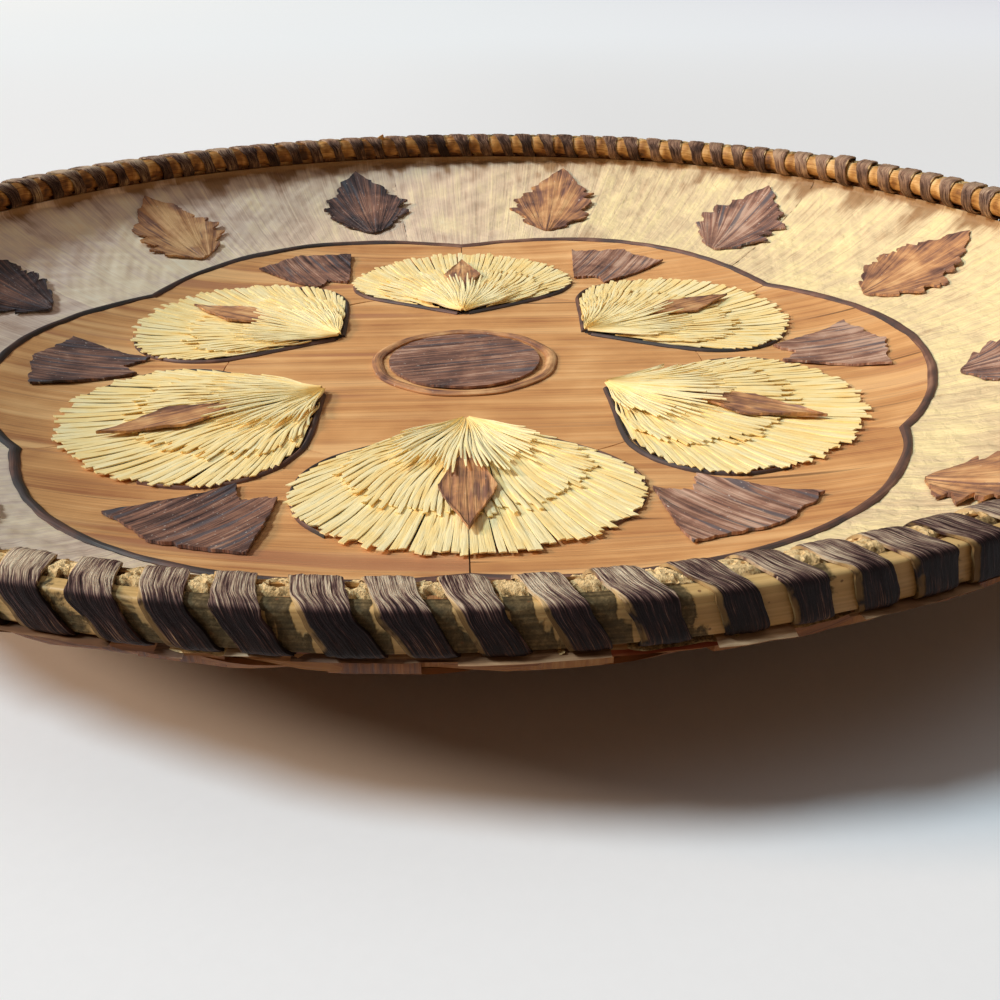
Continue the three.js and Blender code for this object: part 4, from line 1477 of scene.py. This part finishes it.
def leaf_motif(index):
    rng = np.random.default_rng(1900 + index)
    axis = front + (index + 0.5) * petal_step / 2
    red = index % 2 == 1
    finish, slot = (red_bark, "red_bark") if red else (dark_bark, "dark_bark")
    lit = 0.03 - 0.04 * math.cos(axis) if red else 0.15 * math.cos(axis) - 0.03
    tint = rng.uniform(-0.05, 0.07) + lit
    swirl = rng.uniform(-0.3, 0.3)

    def place(u, v, side):
        across = 2 * v - 1
        share = 0.004 + 0.992 * u
        reach = motif_length * share
        edge = np.where(across > 0, tooth_outline(share, 41 + index), tooth_outline(share, 71 + index))
        off = motif_width / 2 * edge * across
        fan = np.arctan2(off, reach + 0.004)
        ridges = combs(fan * fan_radius, motif_ridges, 1950 + index, 20)
        curl = motif_curl * np.abs(across) ** 3 * (0.5 + 0.5 * np.sin(u * 17 + index)) * np.sin(math.pi * u)
        depth = piece_depth + side * (sheet_thickness + ridges) + curl + play
        middle = np.exp(-((u - 0.45) / 0.25) ** 2 - (across / 0.45) ** 2)
        uv = (np.hypot(off, reach) + index * 0.21, fan * 0.022 + swirl * 0.01)
        points = on_dish(*turned(motif_base + reach, off, axis), depth)
        return points, uv, tint + 0.20 * middle - 0.10 * across ** 2

    nodes = [f"leaf_motif_{index + 1}"]
    return build(f"wall_leaf_{index + 1}", [part(84, 40, place)], finish, nodes, sharp=50)


motifs = [leaf_motif(index) for index in range(petal_count * 2)]
print("faces in a motif:", faces_in(motifs[:1]))

# %% [markdown]
# The middle of the dish has a round piece of dark bark inside a thin reddish ring.

# %% Centre
centre_radius = ground_radius * 0.18
ring_inner = centre_radius + 0.002
ring_width = 0.003
ring_edge, ring_crown = 0.0004, 0.0005


def centre_disc():
    place = disc_place(
        2000, centre_radius, low=piece_depth, thickness=ridged_thickness, tilt=0.2, tint=0.02,
        relief=0.0002, pitch=0.0009)
    disc = part(160, 24, place, ring=True)
    return build("centre_bark", [disc], dark_bark, ["centre_disc"], merge=1e-6)


def centre_ring():
    def place(u, v, side):
        angle = u * 2 * math.pi
        radius = ring_inner + ring_width * v + 0.0002 * np.sin(9 * angle)
        depth = piece_depth + side * crowned(v, ring_edge, ring_crown) + play / 2
        points = on_dish(radius * np.cos(angle), radius * np.sin(angle), depth)
        return points, (angle * ring_inner, v * ring_width), 0.05

    ring = part(240, 6, place, ring=True)
    return build("centre_ribbon", [ring], red_bark, ["centre_ring"], merge=1e-6)


centre = [centre_disc(), centre_ring()]
print("faces in the centre:", faces_in(centre))

# %% [markdown]
# Under the outer hoop short, torn ends of the mat's outer layer stick out, splayed a little. Most are
# brown, some spongy, pale, or reddish and shiny, and a few slivers stand off. Each has its own width,
# length and torn edge. At the far side of the rim the end of a bit of cane stands up.

# %% Leaf ends
scrap_out = 0.0012
scrap_top = upright_run + 0.0022
scrap_thickness, scrap_lumps = 0.0003, 0.0002
scrap_kinds = [
    # piece, finish, slot, count, ranges of width, of drop and of splay, and how torn the edge is
    ("leaf_ends", mat_leaf, "mat", 60, (0.008, 0.024), (0.0005, 0.0016), (0.0001, 0.0006), 0.35),
    ("spongy_ends", cut_edge, "mat", 48, (0.006, 0.018), (0.0005, 0.0012), (0.0006, 0.0012), 0.45),
    ("pale_leaf_ends", pale_sheath, "mat", 54, (0.003, 0.012), (0.0006, 0.0021), (0.0003, 0.0011), 0.10),
    ("red_leaf_ends", red_sheath, "red_bark", 22, (0.010, 0.026), (0.001, 0.0024), (0.0002, 0.0008), 0.10),
    ("slivers", pale_sheath, "mat", 54, (0.006, 0.022), (0.0003, 0.0008), (0.0009, 0.0024), 0.05),
]
nub_angle = math.radians(100.9)
nub_width = 0.0042
nub_height, nub_sunk = 0.0034, 0.0012
nub_thickness, nub_lean = 0.0005, 0.0004


def leaf_scrap(rng, angle, widths, drops, splays, tear):
    wide = rng.uniform(*widths)
    drop = rng.uniform(*drops) * (1 - 0.55 * rise(abs(math.cos(angle)), 0.20, 0.30))
    splay = rng.uniform(*splays)
    tint = rng.uniform(-0.20, 0.16)
    seed = int(rng.integers(1, 9999))
    skew = rng.uniform(-0.8, 0.8)
    slope = rng.uniform(-0.6, 0.6)

    def place(u, v, side):
        torn = 1 + tear * comb(v * wide + seed, 0.0016, seed) - 1.4 * tear * np.abs(2 * v - 1) ** 4
        down = u * drop * (torn + slope * (2 * v - 1) * (0.5 - tear))
        around = angle + ((v - 0.5) * wide + skew * down) / mat_radius
        outwards = scrap_out + splay * u ** 1.5 + side * scrap_thickness
        outwards = outwards + scrap_lumps * ripple(v * wide, u * drop, 0.006, seed)
        points = dish(scrap_top - down, around, -outwards)
        # Painted shade: each end is darker at its top, under the hoop.
        return points, (v * wide + seed * 0.01, down), tint - 0.15 * (1 - u)

    return part(6, 14, place)


def leaf_ends():
    rng = np.random.default_rng(2100)
    made = []
    for name, finish, slot, count, *looks in scrap_kinds:
        places = [(i + rng.uniform(-0.4, 0.4)) * 2 * math.pi / count for i in range(count)]
        scraps = [leaf_scrap(rng, angle, *looks) for angle in places]
        made.append(build(name, scraps, finish, sharp=60))
    return made


def cane_nub():
    def place(u, v, side):
        angle = nub_angle + (v - 0.5) * nub_width * (1 - 0.5 * u) / inner_radius
        height = rim_top - nub_sunk + nub_height * u * (1 - 0.3 * v)
        radius = inner_radius - nub_lean * (1 + u) - nub_thickness * side
        return round_tray(radius, angle, height), (v * nub_width, height), 0.12

    return build("cane_nub", [part(6, 6, place)], orange_cane)


ends = leaf_ends() + [cane_nub()]
print("leaf ends:", [piece.name for piece in ends])

# %% [markdown]
